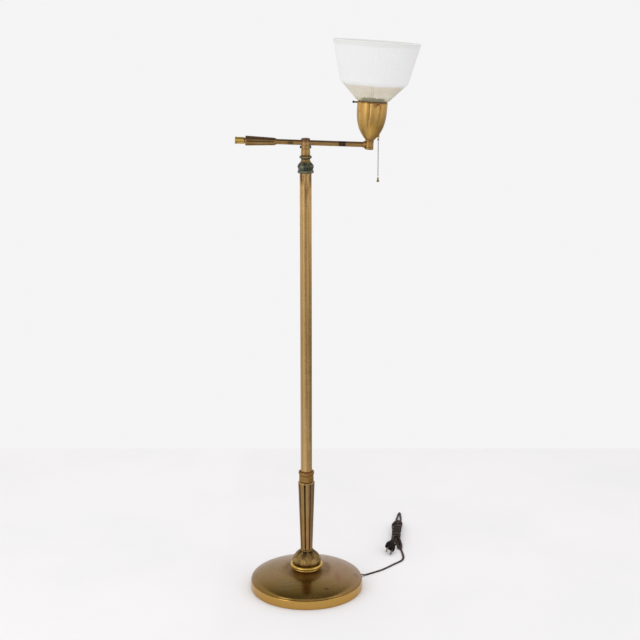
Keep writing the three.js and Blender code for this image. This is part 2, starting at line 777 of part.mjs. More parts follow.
function glassShade() {
  const shoulder = new THREE.QuadraticBezierCurve(
    new THREE.Vector2(CONE_HEAD_RADIUS, CONE_TOP),
    new THREE.Vector2(SHOULDER_RADIUS - 1.2, CONE_TOP + SHOULDER_HEIGHT * 0.45),
    new THREE.Vector2(SHOULDER_RADIUS, SHOULDER_TOP),
  )
    .getPoints(3)
    .map((point) => [point.x, point.y]);
  const inside = (radius, height) => [radius - GLASS_WALL, height];
  return ring(
    [
      [NECK_RADIUS - GLASS_WALL, NECK_START],
      [NECK_RADIUS + NECK_LIP, NECK_START],
      [NECK_RADIUS + NECK_LIP, NECK_START + 2],
      [NECK_RADIUS, NECK_START + 3.2],
      [NECK_RADIUS, CONE_START - 1.2],
      [CONE_FOOT_RADIUS, CONE_START],
      ...shoulder,
      [GLASS_RIM_RADIUS, GLASS_TOP],
      inside(GLASS_RIM_RADIUS, GLASS_TOP),
      inside(SHOULDER_RADIUS, SHOULDER_TOP + 1),
      inside(CONE_HEAD_RADIUS + 1.2, CONE_TOP + 3),
      inside(CONE_FOOT_RADIUS, CONE_START + 2),
      inside(NECK_RADIUS, CONE_START - 0.4),
    ],
    BROAD_STEPS,
  );
}

function thumbscrew(angle) {
  const tip = NECK_RADIUS + SEAT_GAP;
  const end = CUP_RIM_RADIUS + SCREW_REACH;
  const head = end - SCREW_HEAD_LENGTH;
  const shape = turn(
    [
      [0, tip],
      [SCREW_SHANK_RADIUS, tip],
      [SCREW_SHANK_RADIUS, head],
      [SCREW_HEAD_RADIUS, head + 0.4],
      [SCREW_HEAD_RADIUS, end - 0.4],
      [SCREW_HEAD_RADIUS - 0.5, end],
      [0, end],
    ],
    TINY_STEPS,
  );
  return aim(shape, outward(angle), new THREE.Vector3(0, 0, SCREW_HEIGHT));
}

function socketCap() {
  const low = SOCKET_CAP_START;
  const high = SOCKET_CAP_START + SOCKET_CAP_HEIGHT;
  const r = SOCKET_RADIUS;
  return ring(
    [
      [BORE, low],
      [BORE + 2, low],
      [BORE + 2.6, low + 2.5],
      [r - 4.8, low + 7],
      [r - SOCKET_WAIST - 0.2, low + 11.5],
      [r - SOCKET_WAIST, low + SOCKET_WAIST_TOP],
      [r, low + 15.5],
      [r, high],
      [r - 1, high],
      [r - 1, low + 16],
      [r - 3, low + 14],
      [r - 5.8, low + 8],
      [BORE, low + 4],
    ],
    SMALL_STEPS + 4,
  );
}

function bulbCap() {
  const low = BULB_CAP_START;
  const high = BULB_CAP_START + BULB_CAP_HEIGHT;
  return turn(
    [
      [0, low],
      [BULB_CAP_RADIUS - 9, low],
      [BULB_CAP_RADIUS - 8.2, low + 2],
      [BULB_CAP_RADIUS - 1, low + 4.5],
      [BULB_CAP_RADIUS, low + 6],
      [BULB_CAP_RADIUS, high - 2],
      [BULB_CAP_RADIUS - 0.4, high],
      [0, high],
    ],
    SMALL_STEPS + 4,
  );
}

// A pear-shaped bulb: a short neck that swells into a round end.
function bulbGlass() {
  const low = BULB_START;
  const centre = low + BULB_LENGTH - BULB_RADIUS;
  const outline = [
    [0, low],
    [BULB_CAP_RADIUS - 0.8, low],
    [BULB_CAP_RADIUS - 0.3, low + 4],
    [BULB_CAP_RADIUS + 3.2, low + 14],
    [BULB_CAP_RADIUS + 9, low + 27],
  ];
  for (let step = -1; step <= 5; step += 1) {
    const angle = (step * 18) * DEGREE;
    outline.push([step === 5 ? 0 : BULB_RADIUS * cos(angle), centre + BULB_RADIUS * sin(angle)]);
  }
  return turn(outline, SMALL_STEPS + 4);
}

// Pull chain, in an upright frame at the point where it leaves the cup --------------------------

function chainGuide() {
  return ring(
    [
      [CHAIN_GUIDE_BORE, -2.5],
      [CHAIN_GUIDE_RADIUS, -2.5],
      [CHAIN_GUIDE_RADIUS, 5],
      [CHAIN_GUIDE_BORE, 5],
    ],
    TINY_STEPS,
  );
}

function chainConnector() {
  return turn(
    [
      [0, -9.6],
      [1.9, -9.6],
      [1.9, -5.5],
      [0.5, -3.3],
      [0, -3.3],
    ],
    TINY_STEPS,
  );
}

function pullChain() {
  return turn(
    [
      [0, CHAIN_END],
      [CHAIN_RADIUS, CHAIN_END],
      [CHAIN_RADIUS, -12.5],
      [0.4, -10.75],
      [0, -10.75],
    ],
    8,
  );
}

function chainBell() {
  const top = CHAIN_END - SEAT_GAP;
  const low = top - CHAIN_BELL_HEIGHT;
  const r = CHAIN_BELL_RADIUS;
  return turn(
    [
      [0, low],
      [r - 0.5, low],
      [r, low + 1],
      [r - 0.4, low + 3],
      [r - 1.3, low + 6.4],
      [r - 1.5, low + 8.4],
      [r - 2, top],
      [0, top],
    ],
    TINY_STEPS,
  );
}

// Free cord -------------------------------------------------------------------------------------

function cordRun() {
  const route = new THREE.CatmullRomCurve3(CORD_POINTS.map((point) => new THREE.Vector3(...point)));
  const section = new THREE.Shape();
  section.absellipse(0, 0, CORD_HALF_THICKNESS, CORD_HALF_WIDTH, 0, 2 * PI, false, 0);
  return new THREE.ExtrudeGeometry(section, { steps: 30, curveSegments: 8, extrudePath: route });
}

// Outer shape of the folded hank: round at both ends, widest at its wraps, with a lobe at the
// front right where the folds come back beside the plug.
function cordHank() {
  const outline = new THREE.Shape();
  outline.moveTo(-HANK_WAIST, 0);
  outline.lineTo(HANK_LOBE_AT - HANK_LOBE_RADIUS, 0);
  outline.lineTo(HANK_LOBE_AT - HANK_LOBE_RADIUS, -HANK_LOBE_REACH);
  outline.absarc(HANK_LOBE_AT, -HANK_LOBE_REACH, HANK_LOBE_RADIUS, PI, 2 * PI, false);
  outline.lineTo(HANK_WAIST + 1, 40);
  outline.lineTo(HANK_WAIST, 62);
  outline.lineTo(HANK_WRAP, 80);
  outline.lineTo(HANK_WRAP, 110);
  outline.lineTo(HANK_WAIST, 135);
  outline.absarc(0, HANK_LENGTH - HANK_TIP_RADIUS, HANK_TIP_RADIUS, 0, PI, false);
  outline.lineTo(-HANK_WAIST, 135);
  outline.lineTo(-HANK_WRAP, 110);
  outline.lineTo(-HANK_WRAP, 80);
  outline.lineTo(-HANK_WAIST, 62);
  outline.closePath();
  return new THREE.ExtrudeGeometry(outline, {
    depth: HANK_HEIGHT,
    bevelEnabled: false,
    curveSegments: 8,
  });
}

// The plug in its own frame: +Y runs from the face with the blades to the cord, X is its width.
function plugBody() {
  const half = PLUG_WIDTH / 2;
  const outline = new THREE.Shape();
  outline.moveTo(-half, 0);
  outline.lineTo(half, 0);
  outline.lineTo(half, PLUG_LENGTH * 0.35);
  outline.quadraticCurveTo(half, PLUG_LENGTH * 0.7, half * 0.42, PLUG_LENGTH);
  outline.lineTo(-half * 0.42, PLUG_LENGTH);
  outline.quadraticCurveTo(-half, PLUG_LENGTH * 0.7, -half, PLUG_LENGTH * 0.35);
  outline.closePath();
  const shape = new THREE.ExtrudeGeometry(outline, {
    depth: PLUG_THICKNESS,
    bevelEnabled: false,
    curveSegments: 4,
  });
  return shape.translate(0, 0, -PLUG_THICKNESS / 2);
}

function plugBlade(side) {
  return new THREE.BoxGeometry(BLADE_THICKNESS, BLADE_LENGTH, BLADE_WIDTH).translate(
    (side * BLADE_SPACING) / 2,
    -BLADE_LENGTH / 2 - SEAT_GAP,
    0,
  );
}

// Assembly --------------------------------------------------------------------------------------

function buildStand() {
  const group = new THREE.Group();
  const spindleTop = SLEEVE_TOP + 3;
  const swivelWasher = SLEEVE_START + SLEEVE_FLOOR + SEAT_GAP;
  const swivelNut = swivelWasher + 1 + SEAT_GAP;
  add(group, "felt_pad", bar(BASE_RADIUS - FELT_MARGIN, 0, FELT_THICKNESS, ROUND_STEPS), "felt");
  add(group, "base_weight", baseWeight(), "castIron");
  add(group, "base_shell", baseShell(), "baseBrass");
  add(group, "base_nut", hexNut(NUT_RADIUS, NUT_START, NUT_START + NUT_HEIGHT), "steel");
  const washer = tube(WASHER_RADIUS, BORE, WASHER_START, WASHER_START + WASHER_THICKNESS);
  add(group, "base_washer", washer, "steel");
  add(group, "cord_bushing", cordBushing(), "plugBlack");
  const lead = cordHole(WIRE_RADIUS + 0.4, WEIGHT_RECESS_RADIUS - 3, BASE_RADIUS + 2);
  add(group, "base_lead", lead, "cordBrown");
  add(group, "base_ring", baseRing(), "brightBrass");
  add(group, "acanthus_bell", acanthusBell(), "darkBronze");
  add(group, "reeded_column", reededColumn(), "armBrass");
  add(group, "column_collar", columnCollar(), "cupBrass");
  const post = tube(TUBE_RADIUS, TUBE_RADIUS - TUBE_WALL, TUBE_START, TUBE_TOP, ROUND_STEPS);
  add(group, "post_tube", post, "postBrass");
  add(group, "stem_pipe", tube(PIPE_RADIUS, PIPE_BORE, PIPE_START, PIPE_TOP), "steel");
  add(group, "stand_wire", bar(WIRE_RADIUS, PIPE_START + 2, spindleTop, 8), "cordBrown");
  add(group, "top_cap", topCap(), "verdigris");
  add(group, "swivel_spindle", tube(PIPE_RADIUS, PIPE_BORE, PIPE_TOP + SEAT_GAP, spindleTop), "steel");
  add(group, "swivel_washer", tube(SLEEVE_BORE - 0.6, BORE, swivelWasher, swivelWasher + 1), "steel");
  add(group, "swivel_nut", hexNut(SLEEVE_BORE - 0.7, swivelNut, swivelNut + 3.6), "steel");
  return group;
}

function buildSwivel() {
  const group = new THREE.Group();
  add(group, "swivel_sleeve", swivelSleeve(), "armBrass");
  add(group, "tee_body", teeBody(), "armBrass");
  add(group, "cross_screw_left", crossScrew(-1), "blackSteel");
  add(group, "cross_screw_right", crossScrew(1), "blackSteel");
  return group;
}

function buildArm() {
  const group = new THREE.Group();
  group.position.set(0, 0, ARM_HEIGHT);
  group.rotation.y = ARM_DROOP;
  const elbowEnd = ARM_REACH - PIPE_RADIUS - 1 - SEAT_GAP;
  const rearEnd = REAR_LENGTH - 4 - SEAT_GAP;
  add(group, "arm_tube", armTube(ARM_SOCKET_START, elbowEnd, ALONG_ARM), "armBrass");
  add(group, "rear_tube", armTube(ARM_SOCKET_START, rearEnd, REAR_OF_ARM), "armBrass");
  add(group, "handle_grip", handleGrip(), "armBrass");
  add(group, "end_knob", endKnob(), "brightBrass");
  const wire = bar(WIRE_RADIUS, TEE_RADIUS, ARM_REACH - PIPE_RADIUS - 2, 8);
  add(group, "arm_wire", aim(wire, ALONG_ARM), "cordBrown");
  return group;
}

// The head's frame: its origin is the elbow's centre, which lies on the arm's axis.
function headFrame() {
  const group = new THREE.Group();
  group.position.set(ARM_REACH * cos(ARM_DROOP), 0, ARM_HEIGHT - ARM_REACH * sin(ARM_DROOP));
  group.rotation.y = HEAD_LEAN;
  return group;
}

function buildHead() {
  const group = headFrame();
  const locknut = CUP_START + CUP_FLOOR + SEAT_GAP;
  const linerOuter = SOCKET_RADIUS - SOCKET_WALL - SEAT_GAP;
  const socketTop = SOCKET_START + SOCKET_LENGTH;
  const screwShellStart = BULB_CAP_START - 4.5;
  add(group, "elbow", elbow(), "cupBrass");
  add(group, "cup_nipple", tube(PIPE_RADIUS, PIPE_BORE, SEAT_GAP, NIPPLE_LENGTH), "steel");
  add(group, "tulip_cup", tulipCup(), "cupBrass");
  add(group, "cup_locknut", hexNut(8, locknut, locknut + 3.6), "steel");
  add(group, "socket_cap", socketCap(), "brightBrass");
  add(group, "switch_block", bar(SCREW_SHELL_RADIUS - 1, SOCKET_START - 3, screwShellStart - 2), "porcelain");
  const shell = tube(SOCKET_RADIUS, SOCKET_RADIUS - SOCKET_WALL, SOCKET_START, socketTop);
  add(group, "socket_shell", shell, "brightBrass");
  const liner = tube(linerOuter, linerOuter - LINER_WALL, SOCKET_START + 1, socketTop - 0.5);
  add(group, "socket_liner", liner, "fibre");
  const shellInner = SCREW_SHELL_RADIUS - SCREW_SHELL_WALL;
  add(group, "screw_shell", tube(SCREW_SHELL_RADIUS, shellInner, screwShellStart, socketTop - 2), "copper");
  add(group, "centre_contact", bar(3, screwShellStart, BULB_CAP_START - SEAT_GAP, TINY_STEPS), "copper");
  add(group, "bulb_cap", bulbCap(), "steel");
  add(group, "bulb_glass", bulbGlass(), "opalGlass");
  add(group, "glass_shade", glassShade(), "opalGlass");
  for (const [place, angle] of Object.entries(SCREW_ANGLES)) {
    const finish = place === "front" ? "copper" : "blackSteel";
    add(group, "thumbscrew_" + place, thumbscrew(angle), finish);
  }
  const upright = new THREE.Group();
  upright.position.set(CHAIN_OUT, 0, CHAIN_EXIT_HEIGHT);
  upright.rotation.y = -HEAD_LEAN;
  add(upright, "chain_guide", chainGuide(), "cupBrass");
  add(upright, "pull_link", bar(LINK_RADIUS, -2.2, LINK_TOP, 8), "steel");
  add(upright, "chain_connector", chainConnector(), "steel");
  add(upright, "pull_chain", pullChain(), "steel");
  add(upright, "chain_bell", chainBell(), "darkBronze");
  group.add(upright);
  return group;
}

function buildCord() {
  const group = new THREE.Group();
  add(group, "cord_run", cordRun(), "cordBrown");
  const hank = new THREE.Group();
  hank.position.set(HANK_START[0], HANK_START[1], 0.2);
  hank.rotation.z = HANK_TURN;
  add(hank, "cord_hank", cordHank(), "cordBrown");
  group.add(hank);
  const plug = new THREE.Group();
  plug.position.set(...PLUG_FACE);
  plug.rotation.set(PLUG_PITCH, PLUG_ROLL, PLUG_TURN, "ZXY");
  add(plug, "plug_body", plugBody(), "plugBlack");
  add(plug, "plug_blade_left", plugBlade(-1), "steel");
  add(plug, "plug_blade_right", plugBlade(1), "steel");
  group.add(plug);
  return group;
}

const lamp = new THREE.Group();
lamp.add(buildStand(), buildSwivel(), buildArm(), buildHead(), buildCord());

export default lamp;
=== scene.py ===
import json
from math import acos, cos, pi, radians, sin, sqrt

import bmesh
import bpy
import numpy as np
from mathutils import Matrix, Vector


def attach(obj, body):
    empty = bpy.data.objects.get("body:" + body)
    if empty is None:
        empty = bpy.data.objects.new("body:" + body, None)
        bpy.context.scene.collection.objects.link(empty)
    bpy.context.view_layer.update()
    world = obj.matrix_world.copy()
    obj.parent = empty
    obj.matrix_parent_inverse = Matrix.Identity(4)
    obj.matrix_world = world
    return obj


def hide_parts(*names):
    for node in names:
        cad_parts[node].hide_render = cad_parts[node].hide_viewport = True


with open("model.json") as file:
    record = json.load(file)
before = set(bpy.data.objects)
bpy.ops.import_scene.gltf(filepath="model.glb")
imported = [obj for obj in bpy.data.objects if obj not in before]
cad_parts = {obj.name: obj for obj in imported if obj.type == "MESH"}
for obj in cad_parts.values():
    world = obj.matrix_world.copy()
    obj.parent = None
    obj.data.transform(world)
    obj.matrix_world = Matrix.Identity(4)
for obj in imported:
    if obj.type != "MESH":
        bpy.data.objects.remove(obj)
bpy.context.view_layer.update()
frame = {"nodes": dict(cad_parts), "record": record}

# Frames of the lamp's parts, as in the CAD. Outlines below are in millimetres in these frames.
MM = 0.001
ARM_AXIS_HEIGHT = 1.0111
ARM_REACH = 0.1349
ARM_DROOP = radians(1.92)
HEAD_LEAN = radians(3.9)
TO_METRES = Matrix.Scale(MM, 4)
ALONG_PLUS_X = Matrix.Rotation(pi / 2, 4, "Y")
ALONG_MINUS_X = Matrix.Rotation(-pi / 2, 4, "Y")
STAND = Matrix.Identity(4)
ARM = Matrix.Translation((0, 0, ARM_AXIS_HEIGHT)) @ Matrix.Rotation(ARM_DROOP, 4, "Y")
ELBOW_CENTRE = ARM @ Vector((ARM_REACH, 0, 0))
HEAD = Matrix.Translation(ELBOW_CENTRE) @ Matrix.Rotation(HEAD_LEAN, 4, "Y")
CHAIN_EXIT = HEAD @ Vector((0.01765, 0, 0.01892))
CHAIN = Matrix.Translation(CHAIN_EXIT)

# Camera ------------------------------------------------------------------------------------------

CAMERA_PLACE = (0.0305, -2.824, 1.293)
CAMERA_PITCH = radians(13.3)
CAMERA_LENS = 74.81


def add_camera():
    data = bpy.data.cameras.new("camera")
    data.sensor_width = 36
    data.lens = CAMERA_LENS
    camera = bpy.data.objects.new("camera", data)
    camera.location = CAMERA_PLACE
    camera.rotation_euler = (pi / 2 - CAMERA_PITCH, 0, 0)
    bpy.context.scene.collection.objects.link(camera)
    bpy.context.scene.camera = camera


# Mesh helpers ------------------------------------------------------------------------------------


def link(name, mesh):
    piece = bpy.data.objects.new(name, mesh)
    bpy.context.scene.collection.objects.link(piece)
    return piece


def mesh_from_rings(name, rings, shade, closed_along, place, cap_ends=False):
    """A grid of closed rings of points, (count, steps, 3) in millimetres. shade is the curvature
    value of each point: above 0 in hollows, below 0 on edges that rub bright."""
    count, steps = rings.shape[:2]
    to_frame = place @ TO_METRES
    maker = bmesh.new()
    layer = maker.verts.layers.float.new("curve")
    grid = []
    for i in range(count):
        row = []
        for j in range(steps):
            vertex = maker.verts.new(to_frame @ Vector(rings[i, j]))
            vertex[layer] = float(shade[i, j])
            row.append(vertex)
        grid.append(row)
    for i in range(count if closed_along else count - 1):
        lower, upper = grid[i], grid[(i + 1) % count]
        for j in range(steps):
            k = (j + 1) % steps
            maker.faces.new((lower[j], lower[k], upper[k], upper[j]))
    if cap_ends:
        maker.faces.new(grid[0][::-1])
        maker.faces.new(grid[-1])
    bmesh.ops.remove_doubles(maker, verts=maker.verts, dist=1e-7)
    bmesh.ops.dissolve_degenerate(maker, edges=maker.edges, dist=1e-8)
    bmesh.ops.recalc_face_normals(maker, faces=maker.faces)
    mesh = bpy.data.meshes.new(name)
    maker.to_mesh(mesh)
    maker.free()
    return link(name, mesh)


def soften(piece, angle=38):
    piece.data.shade_smooth()
    piece.data.set_sharp_from_angle(angle=radians(angle))


def rounded(outline, count=4):
    """Rounds the corners of an outline of (radius, height) or (radius, height, fillet) points."""
    points = []
    last = len(outline) - 1
    for i, entry in enumerate(outline):
        corner = Vector(entry[:2])
        if len(entry) < 3 or i in (0, last):
            points.append(tuple(corner))
            continue
        before = Vector(outline[i - 1][:2]) - corner
        after = Vector(outline[i + 1][:2]) - corner
        reach = min(entry[2], before.length * 0.48, after.length * 0.48)
        start = corner + before.normalized() * reach
        end = corner + after.normalized() * reach
        for k in range(count + 1):
            t = k / count
            point = start * (1 - t) ** 2 + corner * 2 * t * (1 - t) + end * t * t
            points.append(tuple(point))
    return points


def through(points, count=5):
    """A smooth curve through the points, of any dimension, with count steps between each two."""
    given = [np.array(p, float) for p in points]
    given = [2 * given[0] - given[1], *given, 2 * given[-1] - given[-2]]
    found = []
    for a, b, c, d in zip(given, given[1:], given[2:], given[3:]):
        for k in range(count):
            t = k / count
            square = 2 * a - 5 * b + 4 * c - d
            cube = 3 * b - a - 3 * c + d
            found.append(0.5 * (2 * b + (c - a) * t + square * t**2 + cube * t**3))
    found.append(given[-2])
    return [tuple(float(x) for x in p) for p in found]


def capped(outline, top=None):
    """The outline with rounded corners, closed on the axis at both ends."""
    end = outline[-1][1] if top is None else top
    return [(0, outline[0][1]), *rounded(outline), (0, end)]


def arc(centre, radius, start, end, count=8):
    """Points of an arc in an outline, angles in degrees from outwards towards up."""
    angles = [radians(start + (end - start) * k / count) for k in range(count + 1)]
    return [(centre[0] + radius * cos(a), centre[1] + radius * sin(a)) for a in angles]


def dense(outline, step, closed=False):
    """The same outline with no two points further apart than step."""
    found = []
    ends = [*outline[1:], outline[0]] if closed else outline[1:]
    for start, end in zip(outline, ends):
        a, b = np.array(start, float), np.array(end, float)
        parts = max(1, int(np.ceil(np.linalg.norm(b - a) / step)))
        found += [tuple(a + (b - a) * k / parts) for k in range(parts)]
    if not closed:
        found.append(outline[-1])
    return found


def profile_shade(outline, closed, reach, depth):
    """How hollow, above 0, or how raised, below 0, an outline is at each point."""
    points = np.array(outline, float)
    count = len(points)
    shade = np.zeros(count)
    for i in range(count):
        distance = np.linalg.norm(points - points[i], axis=1)
        near = points[distance < reach]
        before = points[i - 1] if closed or i > 0 else points[i]
        after = points[(i + 1) % count] if closed or i < count - 1 else points[i]
        along = after - before
        length = np.linalg.norm(along)
        if length == 0:
            continue
        outwards = np.array((along[1], -along[0])) / length
        shade[i] = np.clip(((near.mean(0) - points[i]) @ outwards) / depth, -1, 1)
    return shade


def turned(name, outline, place, steps=96, relief=None, closed=False, turn=0.0, step=3.0,
           reach=2.5, depth=0.35):
    """A turned piece about its frame's +Z. relief gives each point's inward depth and its shade
    from angle (0 at -Y, towards +X), radius and height."""
    points = dense(outline, step, closed)
    shade = profile_shade(points, closed, reach, depth)
    radius = np.array([p[0] for p in points])[:, None]
    height = np.array([p[1] for p in points])[:, None]
    angle = (np.arange(steps) / steps * 2 * pi)[None, :]
    sunk, extra = relief(angle, radius, height) if relief else (0 * angle, 0 * angle)
    bent = radius - sunk * (radius > 0)
    place_angle = angle + turn
    rings = [bent * np.sin(place_angle), -bent * np.cos(place_angle), height + 0 * bent]
    rings = np.stack(rings, axis=2)
    shades = np.clip(shade[:, None] + extra + 0 * bent, -1, 1)
    piece = mesh_from_rings(name, rings, shades, closed, place)
    soften(piece)
    return piece


def carve(piece, cutters, operation="DIFFERENCE"):
    """Cuts away, or joins on, other meshes, and keeps only the result."""
    for cutter in cutters:
        modifier = piece.modifiers.new("cut", "BOOLEAN")
        modifier.operation = operation
        modifier.solver = "EXACT"
        modifier.object = cutter
    bpy.context.view_layer.update()
    shaped = piece.evaluated_get(bpy.context.evaluated_depsgraph_get())
    mesh = bpy.data.meshes.new_from_object(shaped)
    piece.modifiers.clear()
    piece.data = mesh
    for cutter in cutters:
        bpy.data.objects.remove(cutter)
    soften(piece)
    return piece


def rod(radius, bottom, top, place, steps=48):
    """A solid round bar that is used to cut or to join."""
    outline = [(0, bottom), (radius, bottom), (radius, top), (0, top)]
    return turned("rod", outline, place, steps, step=1000)


def place_piece(piece, body, slot, *nodes):
    """Puts a finished piece on its body, in its material slot, in place of CAD nodes."""
    piece.data.materials.clear()
    piece.data.materials.append(MATERIALS[slot])
    if nodes:
        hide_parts(*nodes)
    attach(piece, body)
    return piece


# Material helpers --------------------------------------------------------------------------------


def tone(red, green, blue):
    """A colour from its screen values, 0 to 255, as linear light."""
    parts = [c / 255 for c in (red, green, blue)]
    return (*[c / 12.92 if c <= 0.04045 else ((c + 0.055) / 1.055) ** 2.4 for c in parts], 1)


class Nodes:
    """One material's node tree, with short calls for the nodes used here."""

    def __init__(self, name):
        self.material = bpy.data.materials.new(name)
        self.material.use_nodes = True
        self.tree = self.material.node_tree
        self.tree.nodes.clear()
        self.shader = self.tree.nodes.new("ShaderNodeBsdfPrincipled")
        output = self.tree.nodes.new("ShaderNodeOutputMaterial")
        self.tree.links.new(self.shader.outputs[0], output.inputs["Surface"])
        self.object_place = self.tree.nodes.new("ShaderNodeTexCoord").outputs["Object"]

    def put(self, socket, value):
        if isinstance(value, bpy.types.NodeSocket):
            self.tree.links.new(value, socket)
        elif value is not None:
            socket.default_value = value

    def set(self, **values):
        """Sets shader inputs; an underscore in a name stands for a space."""
        for name, value in values.items():
            self.put(self.shader.inputs[name.replace("_", " ")], value)

    def math(self, operation, a, b=None, clamp=False):
        node = self.tree.nodes.new("ShaderNodeMath")
        node.operation = operation
        node.use_clamp = clamp
        self.put(node.inputs[0], a)
        self.put(node.inputs[1], b)
        return node.outputs[0]

    def plus(self, a, b):
        return self.math("ADD", a, b)

    def minus(self, a, b):
        return self.math("SUBTRACT", a, b)

    def times(self, a, b):
        return self.math("MULTIPLY", a, b)

    def larger(self, a, b):
        return self.math("MAXIMUM", a, b)

    def gap(self, a, b):
        """How far apart two values are."""
        return self.math("ABSOLUTE", self.minus(a, b))

    def vector(self, operation, a, b=None):
        node = self.tree.nodes.new("ShaderNodeVectorMath")
        node.operation = operation
        self.put(node.inputs[0], a)
        self.put(node.inputs[1], b)
        return node.outputs["Value" if operation in ("LENGTH", "DISTANCE") else "Vector"]

    def scaled(self, scale):
        return self.vector("MULTIPLY", self.object_place, scale)

    def noise(self, vector, scale, detail=3, roughness=0.55):
        node = self.tree.nodes.new("ShaderNodeTexNoise")
        self.put(node.inputs["Vector"], vector)
        node.inputs["Scale"].default_value = scale
        node.inputs["Detail"].default_value = detail
        node.inputs["Roughness"].default_value = roughness
        return node.outputs[0]

    def span(self, value, low, high, to_low=0.0, to_high=1.0):
        """Maps low..high to to_low..to_high smoothly, and holds the ends."""
        node = self.tree.nodes.new("ShaderNodeMapRange")
        node.interpolation_type = "SMOOTHSTEP"
        self.put(node.inputs["Value"], value)
        node.inputs["From Min"].default_value = low
        node.inputs["From Max"].default_value = high
        node.inputs["To Min"].default_value = to_low
        node.inputs["To Max"].default_value = to_high
        return node.outputs["Result"]

    def mix(self, factor, a, b, blend="MIX"):
        node = self.tree.nodes.new("ShaderNodeMix")
        node.data_type = "RGBA"
        node.blend_type = blend
        self.put(node.inputs[0], factor)
        self.put(node.inputs[6], a)
        self.put(node.inputs[7], b)
        return node.outputs[2]

    def attribute(self, name):
        node = self.tree.nodes.new("ShaderNodeAttribute")
        node.attribute_name = name
        return node.outputs["Fac"]

    def part(self, axis):
        """One coordinate of the row frame, in metres."""
        node = self.tree.nodes.new("ShaderNodeSeparateXYZ")
        self.put(node.inputs[0], self.object_place)
        return node.outputs[axis]

    def spot(self, centre, size, ragged=0.35, soft=0.5):
        """1 inside a blot of that size about a point, 0 outside, with a ragged edge."""
        away = self.vector("SUBTRACT", self.object_place, centre)
        away = self.vector("DIVIDE", away, size)
        wobble = self.noise(self.object_place, 160, 3)
        wobble = self.times(self.minus(wobble, 0.5), 2 * ragged)
        distance = self.plus(self.vector("LENGTH", away), wobble)
        return self.span(distance, 1 - soft, 1, 1, 0)

    def bump(self, height, strength, distance):
        node = self.tree.nodes.new("ShaderNodeBump")
        node.inputs["Strength"].default_value = strength
        node.inputs["Distance"].default_value = distance
        self.put(node.inputs["Height"], height)
        self.put(self.shader.inputs["Normal"], node.outputs[0])


def blot(centre, size, ragged=0.35, soft=0.5):
    """A mask maker for a spot."""
    return lambda nodes: nodes.spot(tuple(centre), size, ragged, soft)


def above_head(nodes):
    """Height along the leaning head's axis, near enough, in the row frame."""
    return nodes.plus(nodes.part("Z"), nodes.times(nodes.part("X"), sin(HEAD_LEAN)))


def head_level(height):
    """What above_head gives at a height on the head's axis."""
    point = HEAD @ Vector((0, 0, height))
    return point.z + point.x * sin(HEAD_LEAN)


def grain_along(nodes, kind):
    """Fine lines: along a post, along the arm, in circles on spun work, or the same all ways."""
    if kind == "post":
        return nodes.noise(nodes.scaled((900, 900, 14)), 1, 2)
    if kind == "arm":
        return nodes.noise(nodes.scaled((16, 800, 800)), 1, 2)
    if kind == "spun":
        flat = nodes.vector("MULTIPLY", nodes.object_place, (1, 1, 0))
        radius = nodes.vector("LENGTH", flat)
        joined = nodes.tree.nodes.new("ShaderNodeCombineXYZ")
        nodes.put(joined.inputs[0], nodes.times(radius, 1400))
        nodes.put(joined.inputs[1], nodes.times(nodes.part("X"), 9))
        nodes.put(joined.inputs[2], nodes.times(nodes.part("Y"), 9))
        return nodes.noise(joined.outputs[0], 1, 2)
    return nodes.noise(nodes.object_place, 700, 3)


def brass(slot, main, bright, dark, roughness, grain="all", patch=22, tarnish=0.35, hollow=0.8, wear=0.4,
          marks=(), pitting=0.1, rougher=None, deep=None):
    """Aged brass: patches between two tones, fine grain, tarnish specks, dark hollows and worn
    edges. marks are (mask maker, colour, strength)."""
    nodes = Nodes(slot)
    patches = nodes.noise(nodes.object_place, patch, 4, 0.6)
    fine = nodes.noise(nodes.object_place, 330, 4, 0.65)
    lines = grain_along(nodes, grain)
    colour = nodes.mix(nodes.span(patches, 0.36, 0.66), main, bright)
    colour = nodes.mix(nodes.span(fine, 0.35, 0.75, 0, 0.2), colour, dark)
    colour = nodes.mix(nodes.span(lines, 0.4, 0.72, 0, 0.2), colour, dark)
    specks = nodes.noise(nodes.object_place, 75, 5, 0.7)
    colour = nodes.mix(nodes.span(specks, 0.56, 0.74, 0, tarnish), colour, dark)
    curve = nodes.attribute("curve")
    colour = nodes.mix(nodes.span(nodes.times(curve, -1.0), 0.15, 0.9, 0, wear), colour, bright)
    colour = nodes.mix(nodes.span(curve, 0.12, 0.8, 0, hollow), colour, deep or dark)
    for mask, mark, strength in marks:
        share = nodes.times(mask(nodes), strength)
        colour = nodes.mix(share, colour, mark)
    varied = nodes.plus(nodes.span(lines, 0.3, 0.7, -0.05, 0.07), roughness)
    varied = nodes.plus(varied, nodes.span(specks, 0.45, 0.75, 0, 0.16))
    varied = nodes.math("ADD", varied, nodes.span(curve, 0.1, 0.8, 0, 0.15), clamp=True)
    if rougher:
        varied = nodes.plus(varied, rougher(nodes))
    nodes.set(Base_Color=colour, Metallic=1.0, Roughness=varied)
    nodes.bump(nodes.plus(nodes.times(lines, 0.5), fine), pitting, 0.0004)
    return nodes.material


